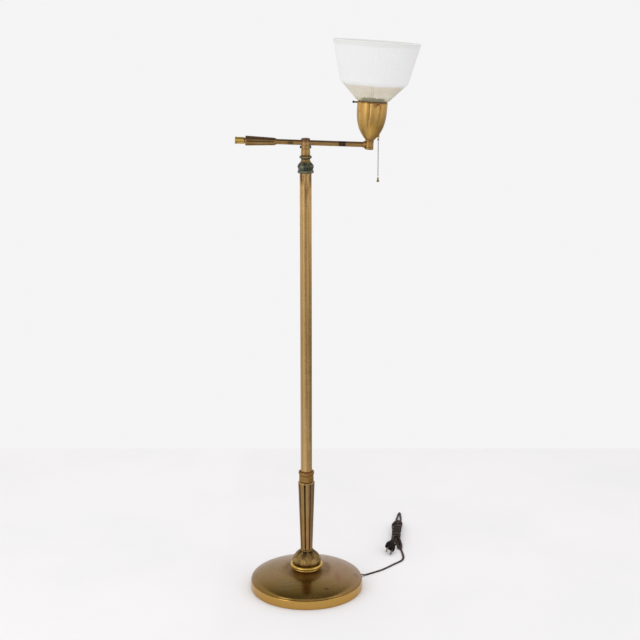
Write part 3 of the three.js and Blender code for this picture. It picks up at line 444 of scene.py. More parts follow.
def plain_metal(slot, main, dark, roughness, metallic=1.0):
    """Plated or blackened steel with fine grain and grime."""
    nodes = Nodes(slot)
    fine = nodes.noise(nodes.object_place, 420, 4, 0.65)
    broad = nodes.noise(nodes.object_place, 60, 4, 0.6)
    colour = nodes.mix(nodes.span(broad, 0.4, 0.7, 0, 0.6), main, dark)
    colour = nodes.mix(nodes.span(fine, 0.45, 0.75, 0, 0.4), colour, dark)
    colour = nodes.mix(nodes.span(nodes.attribute("curve"), 0.1, 0.8, 0, 0.7), colour, dark)
    varied = nodes.span(fine, 0.3, 0.7, roughness - 0.08, roughness + 0.12)
    nodes.set(Base_Color=colour, Metallic=metallic, Roughness=varied)
    nodes.bump(fine, 0.12, 0.0004)
    return nodes.material


def matt(slot, main, dark, roughness, scale, bump=0.25, distance=0.0006, sheen=0.0, coat=0.0, gloss=0.5):
    """Rough cast, felt, fibre, rubber or porcelain: two tones mottled at a scale, with bump."""
    nodes = Nodes(slot)
    fine = nodes.noise(nodes.object_place, scale, 5, 0.7)
    broad = nodes.noise(nodes.object_place, scale / 9, 3)
    colour = nodes.mix(nodes.span(broad, 0.35, 0.7), main, dark)
    colour = nodes.mix(nodes.span(fine, 0.45, 0.75, 0, 0.6), colour, dark)
    colour = nodes.mix(nodes.span(nodes.attribute("curve"), 0.1, 0.8, 0, 0.6), colour, dark)
    varied = nodes.span(fine, 0.3, 0.7, roughness - 0.08, roughness + 0.08)
    nodes.set(Base_Color=colour, Roughness=varied)
    nodes.set(Sheen_Weight=sheen, Coat_Weight=coat, Specular_IOR_Level=gloss)
    nodes.bump(fine, bump, distance)
    return nodes.material


def post_brass():
    def top_tarnish(nodes):
        streaks = nodes.noise(nodes.scaled((260, 260, 20)), 1, 3)
        near_top = nodes.span(nodes.part("Z"), 0.86, 0.945)
        return nodes.times(nodes.span(streaks, 0.42, 0.62), near_top)

    def long_streaks(nodes):
        return nodes.span(nodes.noise(nodes.scaled((190, 190, 3.2)), 1, 3), 0.5, 0.72)

    # Painted light: the lower part of the post is painted lighter, fading out upwards.
    def painted_light_low(nodes):
        return nodes.span(nodes.part("Z"), 0.28, 0.62, 1, 0)

    marks = [
        (painted_light_low, tone(236, 196, 136), 0.5),
        (long_streaks, tone(120, 84, 45), 0.45),
        (top_tarnish, tone(88, 58, 40), 0.85),
    ]
    return brass(
        "post_brass", tone(196, 156, 98), tone(212, 174, 116), tone(126, 88, 46), 0.27, "post", 9, 0.25,
        marks=marks,
    )


def base_brass():
    band_top = 0.0206

    def band(nodes):
        return nodes.span(nodes.part("Z"), band_top - 0.0003, band_top, 1, 0)

    def rim_line(nodes):
        from_edge = nodes.gap(nodes.part("Z"), band_top)
        return nodes.span(from_edge, 0.0002, 0.0007, 1, 0)

    def cool_streaks(nodes):
        lines = nodes.noise(nodes.scaled((16, 130, 40)), 1, 3)
        region = nodes.spot((-0.042, -0.085, 0.035), (0.045, 0.03, 0.06), 0.3, 0.8)
        return nodes.times(nodes.span(lines, 0.5, 0.66), region)

    # Painted reflection: the dome is painted a lighter mauve towards its back right.
    def painted_mauve_reflection(nodes):
        around = nodes.plus(nodes.part("X"), nodes.times(nodes.part("Y"), 1.1))
        return nodes.span(around, -0.06, 0.11)

    def near_ring(nodes):
        flat_place = nodes.vector("MULTIPLY", nodes.object_place, (1, 1, 0))
        return nodes.span(nodes.vector("LENGTH", flat_place), 0.045, 0.068, 0.3, 0)

    smear = blot((0.070, -0.036, 0.04), (0.009, 0.028, 0.03))
    scratch = blot((0.045, -0.092, 0.036), (0.0085, 0.0028, 0.02), 0.25)
    edge_smudge = blot((0.113, -0.012, 0.03), (0.009, 0.012, 0.03), 0.6)
    # Painted reflection: a darker olive tone painted over the front of the dome.
    painted_front_reflection = blot((-0.02, -0.09, 0.035), (0.11, 0.07, 0.06), 0.3, 0.8)
    marks = [
        (painted_mauve_reflection, tone(150, 118, 94), 0.5),
        (painted_front_reflection, tone(118, 94, 34), 0.6),
        (cool_streaks, tone(128, 124, 104), 0.55),
        (smear, tone(142, 84, 66), 0.45),
        (edge_smudge, tone(98, 82, 72), 0.5),
        (scratch, tone(70, 50, 48), 0.85),
        (band, tone(196, 154, 82), 0.85),
        (rim_line, tone(104, 76, 40), 0.5),
    ]
    return brass(
        "base_brass", tone(133, 102, 57), tone(146, 115, 67), tone(100, 74, 34), 0.17, "spun", 14, 0.2,
        hollow=0.5, wear=0.3, marks=marks, pitting=0.03, rougher=near_ring,
    )


def arm_brass():
    def dark_band(nodes):
        across = nodes.gap(nodes.part("X"), 0.0775)
        ragged = nodes.times(nodes.noise(nodes.object_place, 240, 3), 0.004)
        band = nodes.span(nodes.plus(across, ragged), 0.0088, 0.0105, 1, 0)
        return nodes.times(band, nodes.span(nodes.part("Z"), 0.98, 0.985))

    def coppery(nodes):
        return nodes.span(nodes.noise(nodes.object_place, 42, 3), 0.5, 0.64)

    # Painted reflection: the upper half of the arm, the grip and the tee top are painted darker.
    def painted_dark_top(nodes):
        arm_height = nodes.plus(nodes.part("Z"), nodes.times(nodes.part("X"), 0.0335))
        return nodes.span(arm_height, 1.0108, 1.0140)

    # Painted light: the right side of the column is painted a lighter mauve.
    def painted_mauve_light_right(nodes):
        low = nodes.span(nodes.part("Z"), 0.26, 0.3, 1, 0)
        return nodes.times(nodes.span(nodes.part("X"), 0.004, 0.012), low)

    olive_spot = blot((-0.032, -0.006, 1.0105), (0.009, 0.02, 0.006))
    marks = [
        (coppery, tone(166, 114, 82), 0.35),
        (painted_dark_top, tone(100, 76, 62), 0.7),
        (olive_spot, tone(84, 78, 44), 0.8),
        (dark_band, tone(62, 44, 44), 0.9),
        (painted_mauve_light_right, tone(150, 120, 98), 0.55),
    ]
    return brass(
        "arm_brass", tone(168, 133, 80), tone(180, 146, 94), tone(92, 62, 32), 0.34, "all", 26, 0.25,
        hollow=1.0, marks=marks, pitting=0.04, deep=tone(50, 32, 14),
    )


def cup_brass():
    def rim(nodes):
        rim_height = 0.0903
        away = nodes.vector("DISTANCE", nodes.object_place, tuple(HEAD @ Vector((0, 0, rim_height))))
        top = head_level(rim_height)
        near = nodes.span(away, 0.036, 0.045, 1, 0)
        return nodes.times(nodes.span(above_head(nodes), top - 0.0042, top - 0.0012), near)

    def collar_lip(nodes):
        low = nodes.span(nodes.part("Z"), 0.2795, 0.2805, 1, 0)
        return nodes.times(nodes.span(nodes.part("Z"), 0.2735, 0.2775), low)

    def elbow_region(nodes):
        above_post = nodes.span(nodes.part("Z"), 0.9, 0.91)
        return nodes.times(nodes.span(nodes.part("Z"), 1.0165, 1.0185, 1, 0), above_post)

    def collar_region(nodes):
        return nodes.span(nodes.part("Z"), 0.3, 0.31, 1, 0)

    reddish = blot(HEAD @ Vector((0.006, -0.031, 0.0845)), (0.006, 0.008, 0.005), 0.5)
    # Painted light and shade: a bright gold highlight on the cup's lower front, and darker tones on its
    # left and right sides.
    painted_highlight_front = blot(HEAD @ Vector((0.004, -0.022, 0.034)), (0.016, 0.02, 0.024), 0.15, 0.9)
    painted_shade_right = blot(HEAD @ Vector((0.034, -0.012, 0.058)), (0.014, 0.03, 0.04), 0.15, 0.9)
    painted_shade_left = blot(HEAD @ Vector((-0.034, -0.012, 0.058)), (0.011, 0.03, 0.04), 0.15, 0.9)
    marks = [
        (painted_highlight_front, tone(238, 188, 96), 0.8),
        (painted_shade_right, tone(134, 104, 66), 0.75),
        (painted_shade_left, tone(152, 126, 84), 0.7),
        (collar_region, tone(152, 116, 66), 0.75),
        (collar_lip, tone(132, 84, 52), 0.6),
        (rim, tone(104, 70, 36), 0.75),
        (reddish, tone(140, 84, 56), 0.6),
        (elbow_region, tone(146, 108, 64), 0.6),
    ]
    return brass(
        "cup_brass", tone(192, 150, 84), tone(212, 172, 102), tone(112, 82, 38), 0.38, "all", 24, 0.2,
        hollow=0.95, wear=0.45, marks=marks, pitting=0.04, deep=tone(84, 58, 20),
    )


def bright_brass():
    return brass(
        "bright_brass", tone(190, 150, 64), tone(222, 184, 100), tone(104, 74, 30), 0.26, "all", 40, 0.2,
        hollow=0.9, wear=0.6, pitting=0.06,
    )


def dark_bronze():
    return brass(
        "dark_bronze", tone(118, 96, 54), tone(176, 142, 88), tone(66, 48, 26), 0.4, "all", 50, 0.5,
        hollow=0.85, wear=0.8, pitting=0.2, deep=tone(46, 32, 15),
    )


def verdigris():
    """Green patina with the metal worn through at the neck, on rubbed edges and in scattered specks, and a
    painted gold glint on the front edge of the disc.
    """
    nodes = Nodes("verdigris")
    patches = nodes.noise(nodes.object_place, 95, 5, 0.65)
    fine = nodes.noise(nodes.object_place, 480, 5, 0.7)
    curve = nodes.attribute("curve")
    green = nodes.mix(nodes.span(patches, 0.38, 0.64), tone(56, 60, 46), tone(116, 123, 103))
    green = nodes.mix(nodes.span(fine, 0.48, 0.72, 0, 0.6), green, tone(44, 47, 39))
    gold = nodes.mix(nodes.span(fine, 0.4, 0.7), tone(174, 142, 88), tone(118, 88, 50))
    neck = nodes.span(nodes.gap(nodes.part("Z"), 0.9735), 0.003, 0.0052, 1, 0)
    # Painted highlight: a glint of gold metal on the front edge of the disc, shown with the worn-through
    # metal.
    painted_glint_disc = nodes.spot((0.0, -0.0135, 0.9815), (0.008, 0.006, 0.002), 0.3)
    rubbed = nodes.span(nodes.times(curve, -1.0), 0.3, 1.0, 0, 0.35)
    bare_and_glint = nodes.larger(nodes.times(neck, 0.8), painted_glint_disc)
    bare_and_glint = nodes.larger(bare_and_glint, rubbed)
    scattered = nodes.span(nodes.noise(nodes.object_place, 130, 3), 0.62, 0.7, 0, 0.6)
    bare_and_glint = nodes.larger(bare_and_glint, scattered)
    colour = nodes.mix(bare_and_glint, green, gold)
    colour = nodes.mix(nodes.span(curve, 0.1, 0.7, 0, 0.85), colour, tone(34, 34, 28))
    nodes.set(Base_Color=colour, Metallic=nodes.span(bare_and_glint, 0, 1, 0.72, 1.0))
    varied = nodes.plus(nodes.span(bare_and_glint, 0, 1, 0.38, 0.26), nodes.span(fine, 0.3, 0.7, 0, 0.12))
    nodes.set(Roughness=varied)
    nodes.bump(nodes.plus(fine, patches), 0.25, 0.0005)
    return nodes.material


def glass_seam(nodes, milky):
    """Mask of the mould seam's two fine lines down the front of the cone."""
    from_seam = nodes.gap(nodes.part("X"), 0.1383)
    line = nodes.span(nodes.gap(from_seam, 0.0017), 0.0003, 0.0009, 0.35, 0)
    line = nodes.times(line, nodes.span(milky, 0.2, 0.6, 1, 0))
    return nodes.times(line, nodes.span(nodes.part("Y"), -0.01, 0, 1, 0))


def shade_glass():
    """White pressed glass: milky on the wall, clearer and cream on the cone, with a painted yellow
    glow and a painted dark band on its foot for the cup's rim seen through it."""
    nodes = Nodes("shade_glass")
    shoulder, foot = 0.1288, 0.0926
    up = above_head(nodes)
    waves = nodes.times(nodes.noise(nodes.object_place, 40, 2), 0.004)
    level = nodes.minus(nodes.plus(up, waves), head_level(shoulder) + 0.002)
    milky = nodes.span(level, -0.007, 0.0)
    fine = nodes.noise(nodes.object_place, 300, 3)
    clouds = nodes.span(nodes.noise(nodes.object_place, 55, 3), 0.4, 0.65)
    cream = nodes.mix(clouds, tone(244, 237, 220), tone(238, 230, 212))
    near_rim = nodes.span(level, 0.0755, 0.078, 0, 0.6)
    wall = nodes.mix(near_rim, tone(240, 240, 240), tone(226, 227, 222))
    # Painted shade: the right edge of the glass wall is painted a little darker.
    painted_shade_glass_edge = nodes.span(nodes.part("X"), 0.198, 0.235, 0, 0.7)
    wall = nodes.mix(painted_shade_glass_edge, wall, tone(234, 231, 234))
    colour = nodes.mix(milky, cream, wall)
    colour = nodes.mix(glass_seam(nodes, milky), colour, tone(168, 158, 138))
    # Painted light: a yellow glow low on the cone and, at the front, a dark band, painted in for the cup's
    # rim seen through the glass.
    ragged = nodes.times(nodes.noise(nodes.object_place, 230, 3), 0.009)
    over_cup = nodes.plus(nodes.minus(up, head_level(foot)), ragged)
    painted_cup_glow = nodes.span(over_cup, 0.010, 0.0125, 0.5, 0)
    colour = nodes.mix(painted_cup_glow, colour, tone(222, 214, 168))
    in_front = nodes.spot(tuple(HEAD @ Vector((0, 0, foot))), (0.031, 0.06, 0.04), 0.1, 0.15)
    band = nodes.times(nodes.span(over_cup, 0.0105, 0.0135, 0.8, 0), in_front)
    colour = nodes.mix(band, colour, tone(132, 130, 104))
    varied = nodes.plus(nodes.span(milky, 0, 1, 0.32, 0.5), nodes.span(fine, 0.3, 0.7, -0.01, 0.02))
    nodes.set(Base_Color=colour, Metallic=0.0, IOR=1.5, Roughness=varied)
    nodes.set(Transmission_Weight=nodes.span(milky, 0, 1, 0.3, 0.06), Specular_IOR_Level=0.3)
    nodes.set(Coat_Weight=nodes.span(milky, 0, 1, 0.15, 0.0), Coat_Roughness=0.2)
    nodes.bump(nodes.noise(nodes.object_place, 60, 2), 0.03, 0.0006)
    return nodes.material


def bulb_white():
    nodes = Nodes("bulb_white")
    fine = nodes.noise(nodes.object_place, 500, 3)
    colour = nodes.mix(nodes.span(fine, 0.4, 0.7), tone(246, 245, 240), tone(232, 230, 222))
    nodes.set(Base_Color=colour, Roughness=nodes.span(fine, 0.3, 0.7, 0.3, 0.42))
    nodes.set(Coat_Weight=0.4, Coat_Roughness=0.08)
    nodes.bump(fine, 0.03, 0.0004)
    return nodes.material


def copper():
    return brass(
        "copper", tone(186, 118, 82), tone(216, 152, 112), tone(104, 62, 38), 0.3, "all", 60, 0.4,
        pitting=0.15,
    )


def make_materials():
    """Every slot's material, by slot name."""
    return {
        "post_brass": post_brass(),
        "base_brass": base_brass(),
        "bright_brass": bright_brass(),
        "cup_brass": cup_brass(),
        "arm_brass": arm_brass(),
        "dark_bronze": dark_bronze(),
        "verdigris": verdigris(),
        "copper": copper(),
        "shade_glass": shade_glass(),
        "bulb_white": bulb_white(),
        "steel": plain_metal("steel", tone(136, 132, 114), tone(84, 80, 66), 0.4),
        "chain_metal": plain_metal("chain_metal", tone(166, 152, 150), tone(96, 82, 80), 0.32),
        "black_steel": plain_metal("black_steel", tone(70, 60, 50), tone(38, 31, 26), 0.4, 0.9),
        "cast_iron": matt("cast_iron", tone(62, 60, 58), tone(36, 34, 32), 0.72, 260, 0.5),
        "felt": matt("felt", tone(52, 74, 56), tone(36, 54, 40), 0.9, 900, 0.6, sheen=0.4),
        "porcelain": matt("porcelain", tone(232, 228, 216), tone(216, 210, 196), 0.28, 200, 0.05, coat=0.5),
        "fibre": matt("fibre", tone(150, 128, 90), tone(116, 96, 62), 0.8, 600, 0.4),
        "cord": matt("cord", tone(68, 50, 42), tone(40, 28, 23), 0.55, 700, 0.15, gloss=0.25),
        "plug_black": matt("plug_black", tone(24, 15, 14), tone(12, 7, 7), 0.55, 500, 0.1, gloss=0.12),
    }


# Cord --------------------------------------------------------------------------------------------

CORD_WIDTH = 5.3
CORD_THICKNESS = 2.8
# The stretch on the floor, in metres: the same points as in the CAD.
CORD_POINTS = [
    (0.1203, 0.0483, 0.0065), (0.1236, 0.0497, 0.0062), (0.1290, 0.0526, 0.0040),
    (0.1345, 0.0560, 0.0021), (0.1413, 0.0605, 0.0016), (0.1543, 0.0695, 0.0016),
    (0.1650, 0.0770, 0.0016), (0.1760, 0.0855, 0.0016), (0.1875, 0.0970, 0.0016),
    (0.1980, 0.1086, 0.0016), (0.2080, 0.1198, 0.0016), (0.2165, 0.1288, 0.0016),
    (0.2240, 0.1372, 0.0016), (0.2290, 0.1470, 0.0016), (0.2312, 0.1600, 0.0016),
    (0.2306, 0.1780, 0.0016), (0.2294, 0.1940, 0.0016), (0.2284, 0.2052, 0.0016),
]
HANK = Matrix.Translation((0.2152, 0.232, 0.0002)) @ Matrix.Rotation(radians(-6.2), 4, "Z")
FIRST_LAYER = 1.4
LAYER = 2.85
WRAP_LIFT = 2.9
WRAP_COUNT = 9
WRAP_START = 119
WRAP_PITCH = 10.4
WRAP_STEPS = 16
PLUG = (
    Matrix.Translation((0.1995, 0.186, 0.0122))
    @ Matrix.Rotation(radians(-14.5), 4, "Z")
    @ Matrix.Rotation(radians(20), 4, "X")
    @ Matrix.Rotation(radians(38), 4, "Y")
)


def flat(x, y, low):
    """A point of a flat run of the hank, with its upward side. Runs rise over the wraps."""
    lifted = np.interp(y, (4, 24, 118, 136), (0, 1, 1, 0))
    return (x, y, low + WRAP_LIFT * lifted, 0, 0, 1)


def tip_loop():
    """The long turn's far end, where the cord turns onto its edge to bend sharply."""
    right = [(5.5, 140, 0.1, 0), (5.2, 168, 0.3, 10), (3.8, 188, 0.6, 24), (2.7, 203, 0.9, 40)]
    found = []
    for x, y, rise, tilt in right:
        found.append((x, y, FIRST_LAYER + rise, sin(radians(tilt)), 0, cos(radians(tilt))))
    found.append((1.8, 210.6, FIRST_LAYER + 1.1, 0.6, 0.4, 0.7))
    found.append((0, 213.4, FIRST_LAYER + 1.1, 0, 0.72, 0.7))
    return found + [(-p[0], p[1], p[2], -p[3], p[4], p[5]) for p in found[-2::-1]]


def far_loop(far, half, low):
    """A turn's far end, bent flat."""
    shape = [(0.86, 20), (1.0, 9), (0.72, 2.4), (0, 0), (-0.72, 2.4), (-1.0, 9), (-0.86, 20)]
    return [flat(half * across, far - back, low) for across, back in shape]


def near_loop(near, half, low):
    """A turn's near end, bent flat and rising one layer."""
    left = [(-0.9, 22, 0), (-1.0, 9, 0.1), (-0.72, 2.4, 0.3)]
    right = [(0.72, 2.4, 0.7), (1.0, 9, 0.9), (0.9, 22, 1)]
    found = []
    for across, ahead, rise in (*left, (0, 0, 0.5), *right):
        found.append(flat(half * across, near + ahead, low + LAYER * rise))
    return found


def near_lobe(reach, low):
    """A turn's near end that swings out to the right, beside the plug."""
    shape = [
        (-4.5, 21, 0.0), (-0.6, 13, 0.2), (5.0, 7, 0.0), (7.2, -4, -0.9),
        (8.0, 5 - reach, -1.4), (11.8, -reach, -1.6), (15.6, 5 - reach, -1.4),
        (15.2, -5, -0.8), (12.2, 8, 0.4), (8.0, 22, 1.0),
    ]
    return [flat(x, y, max(FIRST_LAYER, low + LAYER * rise)) for x, y, rise in shape]


def leg(x, low, heights):
    return [flat(x, y, low) for y in heights]


def squared(share, half):
    """One coordinate of a rounded square of that half width, from the sine or cosine."""
    return half * abs(share) ** 0.55 * (1 if share > 0 else -1)


def facing(place, half):
    """The same coordinate of the rounded square's outward normal."""
    return np.sign(place) * (abs(place) / half) ** 2.6 / half


def wraps():
    """Turns round the hank from its far side back towards the plug, loose at first."""
    middle = 8.7
    loose = 3
    points = []
    for k in range(WRAP_COUNT * WRAP_STEPS + 1):
        done = k / WRAP_STEPS
        angle = radians(100) + done * 2 * pi
        wide = 9.7 + 1.9 * np.exp(-((done - 1.8) ** 2)) + 0.35 * sin(5.1 * done)
        tall = 7.15 + 0.25 * sin(3.3 * done + 1)
        if done < loose:
            aside = 1.5 * sin(pi * (1.5 - done) / 1.5) - 0.8 * sin(pi * done / loose)
        else:
            aside = 0.25 * sin(2.3 * done)
        along = WRAP_START - WRAP_PITCH * (done - 1.2 * sin(pi * min(done, loose) / loose))
        along = along + 1.1 * sin(4.3 * done) + 0.9 * cos(angle)
        x = squared(cos(angle), wide)
        z = squared(sin(angle), tall)
        outwards = np.array((facing(x, wide), 0, facing(z, tall)))
        outwards /= np.linalg.norm(outwards)
        points.append((x + aside, along, middle + z, *outwards))
    return points


def hank_points():
    """The folded part of the cord in the hank's frame in millimetres, from the floor stretch to
    the plug, each point with its upward side."""
    upwards = (28, 56, 84, 112)
    back = upwards[::-1]
    layers = [FIRST_LAYER + LAYER * k for k in range(4)]
    found = [(15.2, -14, 1.4, 0, 0, 1), (12.4, 0, 1.4, 0, 0, 1), flat(8.0, 16, layers[0])]
    found += leg(5.5, layers[0], upwards) + tip_loop() + leg(-5.5, layers[0], back)
    found += near_loop(2, 5.6, layers[0])
    found += leg(2.9, layers[1], upwards) + far_loop(143, 4.6, layers[1]) + leg(-2.9, layers[1], back)
    found += near_lobe(13, layers[1])
    found += leg(5.6, layers[2], upwards) + far_loop(138, 5.4, layers[2]) + leg(-5.4, layers[2], back)
    found += near_lobe(23, layers[2])
    found += leg(5.3, layers[3], upwards) + far_loop(141, 4.9, layers[3]) + leg(-5.3, layers[3], back)
    found += [flat(-5.4, 12, layers[3]), flat(-3.2, 5, layers[3] + 0.4), flat(0.6, 5, layers[3] + 0.6)]
    found += leg(1.4, layers[3], (16, 40, 66, 92)) + [(1.3, 108, 14.8, 0, 0, 1), (1.0, 117, 15.6, 0, 0, 1)]
    found += wraps()
    found += [(-2.8, 21.5, 17.2, -0.1, 0.2, 0.95), (-4.4, 12, 20.8, 0, 0.35, 0.93)]
    found += [(-4.9, 1, 24.4, 0.1, 0.2, 0.95), (-5.3, -9.6, 25.4, 0.4, 0, 0.9)]
    return found


def cord_route():
    """The whole cord's centreline in metres, in short even steps, with its upward side."""
    points = [(*p, 0, 0, 1) for p in CORD_POINTS]
    for p in hank_points():
        points.append((*(HANK @ (Vector(p[:3]) * MM)), *(HANK.to_3x3() @ Vector(p[3:]))))
    plug_up = PLUG.to_3x3() @ Vector((0, 0, 1))
    for back in (30, 26, 22):
        points.append((*(PLUG @ Vector((0, back * MM, 0))), *plug_up))
    fine = np.array(through(points, 12))
    gaps = np.linalg.norm(np.diff(fine[:, :3], axis=0), axis=1)
    lengths = np.concatenate([[0], np.cumsum(gaps)])
    even = np.arange(0, lengths[-1], 0.0014)
    return np.stack([np.interp(even, lengths, fine[:, k]) for k in range(6)], axis=1)


def twin_section(count=18):
    """Cross-section of a flat twin cord: two round cores side by side."""
    points = []
    for k in range(count):
        angle = 2 * pi * k / count
        waist = 1 - 0.3 * np.exp(-((cos(angle) / 0.3) ** 2))
        points.append((CORD_WIDTH / 2 * cos(angle), CORD_THICKNESS / 2 * sin(angle) * waist))
    return points


def build_cord():
    route, upward = np.hsplit(cord_route(), 2)
    section = twin_section()
    ahead = np.gradient(route, axis=0)
    ahead /= np.linalg.norm(ahead, axis=1)[:, None]
    rings = []
    for point, along, up in zip(route, ahead, upward):
        up = up - along * (up @ along)
        up /= np.linalg.norm(up)
        across = np.cross(along, up)
        rings.append([point / MM + across * x + up * y for x, y in section])
    rings = np.array(rings)
    shade = np.zeros(rings.shape[:2])
    cord = mesh_from_rings("cord", rings, shade, False, STAND, cap_ends=True)
    soften(cord, 60)
    place_piece(cord, "stand", "cord", "cord_run", "cord_hank")
    return cord, route


def plug_section(half_width, half_thickness, squareness, y, count=40):
    points = []
    for k in range(count):
        angle = 2 * pi * k / count
        c, s = cos(angle), sin(angle)
        x = half_width * abs(c) ** (2 / squareness) * (1 if c >= 0 else -1)
        z = half_thickness * abs(s) ** (2 / squareness) * (1 if s >= 0 else -1)
        points.append((x, y, z))
    return points


def build_plug():
    """The moulded plug: a broad face, a shoulder with grip steps and a tapered tail."""
    profile = [
        (0.0, 0.2, 0.2, 5), (0.0, 11.6, 4.8, 5), (0.5, 12.3, 5.3, 5), (3.0, 12.5, 5.5, 5),
        (8.5, 12.5, 5.5, 4.4), (9.2, 11.7, 4.9, 4.0), (10.4, 11.7, 4.9, 4.0),
        (11.0, 12.2, 5.3, 3.8), (13.6, 11.6, 5.2, 3.6), (14.2, 10.8, 4.7, 3.4),
        (15.4, 10.6, 4.6, 3.2), (16.0, 10.7, 4.9, 3.0), (19.0, 8.6, 4.5, 2.8),
        (22.5, 6.2, 3.9, 2.5), (25.0, 5.0, 3.4, 2.3), (27.0, 4.3, 3.0, 2.2),
        (30.0, 3.6, 2.6, 2.1), (30.2, 0.2, 0.2, 2.0),
    ]
    rings = np.array([plug_section(w, t, q, y) for y, w, t, q in profile])
    shade = np.zeros(rings.shape[:2])
    shade[[5, 6, 9, 10]] = 0.7
    plug = mesh_from_rings("plug", rings, shade, False, PLUG, cap_ends=True)
    soften(plug)
    place_piece(plug, "stand", "plug_black", "plug_body")
    blades = [build_blade("left", -1), build_blade("right", 1)]
    return [plug, *blades]


def build_blade(place, side):
    """A flat blade with a rounded tip and a hole."""
    half = 3.15
    straight = -13.6
    middle = side * 6.35
    half_thick = 0.75
    outline = [(0.4, -half), (straight, -half)]
    outline += [(straight - 2.7 * sin(a), -half * cos(a)) for a in np.linspace(0.3, pi - 0.3, 8)]
    outline += [(straight, half), (0.4, half)]
    maker = bmesh.new()
    to_frame = PLUG @ TO_METRES
    near = [maker.verts.new(to_frame @ Vector((middle - half_thick, y, z))) for y, z in outline]
    far = [maker.verts.new(to_frame @ Vector((middle + half_thick, y, z))) for y, z in outline]
    maker.faces.new(near)
    maker.faces.new(far[::-1])
    count = len(outline)
    for i in range(count):
        k = (i + 1) % count
        maker.faces.new((near[i], far[i], far[k], near[k]))
    bmesh.ops.recalc_face_normals(maker, faces=maker.faces)
    name = "plug_blade_" + place
    mesh = bpy.data.meshes.new(name + "_shape")
    maker.to_mesh(mesh)
    maker.free()
    blade = link(name + "_shape", mesh)
    across = PLUG @ Matrix.Translation((0, -0.0118, 0)) @ ALONG_PLUS_X
    carve(blade, [rod(1.5, middle - 3, middle + 3, across, 24)])
    return place_piece(blade, "stand", "steel", name)


# Base and column ---------------------------------------------------------------------------------

OUTLET = Matrix.Rotation(radians(21.9), 4, "Z") @ Matrix.Translation((0, 0, 0.0065)) @ ALONG_PLUS_X


DOME_RADIUS = 126
DOME_FOOT = 20.5
DOME_RISE = 24.6
SHELL_WALL = 1.2
DOME_STEPS = 60


def dome_height(radius):
    return DOME_FOOT + DOME_RISE * sqrt(max(0, 1 - (radius / DOME_RADIUS) ** 2))


def build_base_shell():
    """Spun shell: a straight band with rolled edges, a fine groove and a domed top."""
    hole_radius = 5.1
    start, end = radians(3), acos(hole_radius / DOME_RADIUS)
    dome = []
    under = []
    for k in range(DOME_STEPS + 1):
        angle = start + (end - start) * k / DOME_STEPS
        c, s = cos(angle), sin(angle)
        dome.append((DOME_RADIUS * c, DOME_FOOT + DOME_RISE * s))
        under.append(((DOME_RADIUS - SHELL_WALL) * c, DOME_FOOT + (DOME_RISE - SHELL_WALL) * s))
    band = [
        (125.6, 0.5), (126.7, 0.5, 0.5), (127.0, 1.4, 0.4), (127.0, 18.4, 1.2),
        (126.3, 20.0, 0.5), (125.3, 20.4, 0.3), (125.4, 20.9, 0.3),
        dome[0],
    ]
    outline = rounded(band)[:-1] + dome + under[::-1] + [(125.0, 19.0), (125.0, 1.4)]
    shell = turned("base_shell_spun", outline, STAND, 192, closed=True, reach=3.0)
    carve(shell, [rod(4.0, 116, 132, OUTLET, 32)])
    place_piece(shell, "stand", "base_brass", "base_shell")


def build_bushing():
    outline = rounded([
        (2.9, 121), (3.7, 121), (3.7, 127.1, 0.3), (4.9, 127.3, 0.5), (4.9, 128.6, 0.8),
        (3.9, 129.4, 0.4), (2.9, 128.9, 0.3),
    ])
    bushing = turned("cord_bushing_moulded", outline, OUTLET, 40, closed=True)
    place_piece(bushing, "stand", "plug_black", "cord_bushing")


def build_ring():
    """A narrow rolled foot, a groove, and a wider rolled lip."""
    low = dome_height(32.9) + 0.3
    outline = [
        (28.0, low + 0.9),
        (29.8, low + 0.6),
        *arc((29.9, low + 3.7), 3.3, -66, 52, 12),
        (31.6, low + 6.6),
        *arc((32.7, low + 9.9), 4.2, -52, 106, 18),
        (31.4, low + 9.0),
        (28.0, low + 7.0),
    ]
    bead = turned("base_ring_beads", outline, STAND, 160, closed=True, step=2)
    place_piece(bead, "stand", "bright_brass", "base_ring")


def leaf(angle, share, centre, start, end, wide):
    """Height field, 0 to 1, of one leaf from start to end of the share along the bell."""
    t = np.clip((share - start) / (end - start), 0, 1)
    off = (angle - centre + pi) % (2 * pi) - pi
    half = wide * (np.sin(pi * np.clip(t, 0.001, 0.999) ** 0.75) ** 0.6) * (1 + 0.13 * np.sin(26 * t))
    inside = np.clip(1 - (off / np.maximum(half, 1e-3)) ** 2, 0, 1)
    body = inside**0.35
    vein = 0.5 * np.exp(-((off / 0.035) ** 2))
    side_veins = 0.26 * (0.5 + 0.5 * np.cos(2 * pi * (6.5 * t - 1.2 * np.abs(off) / wide)))
    tip_curl = 0.35 * np.exp(-(((t - 0.86) / 0.1) ** 2))
    height = body * (0.72 + tip_curl - vein * (1 - tip_curl) - side_veins)
    return np.where((t > 0) & (t < 1), np.clip(height, 0, 1.1), 0)


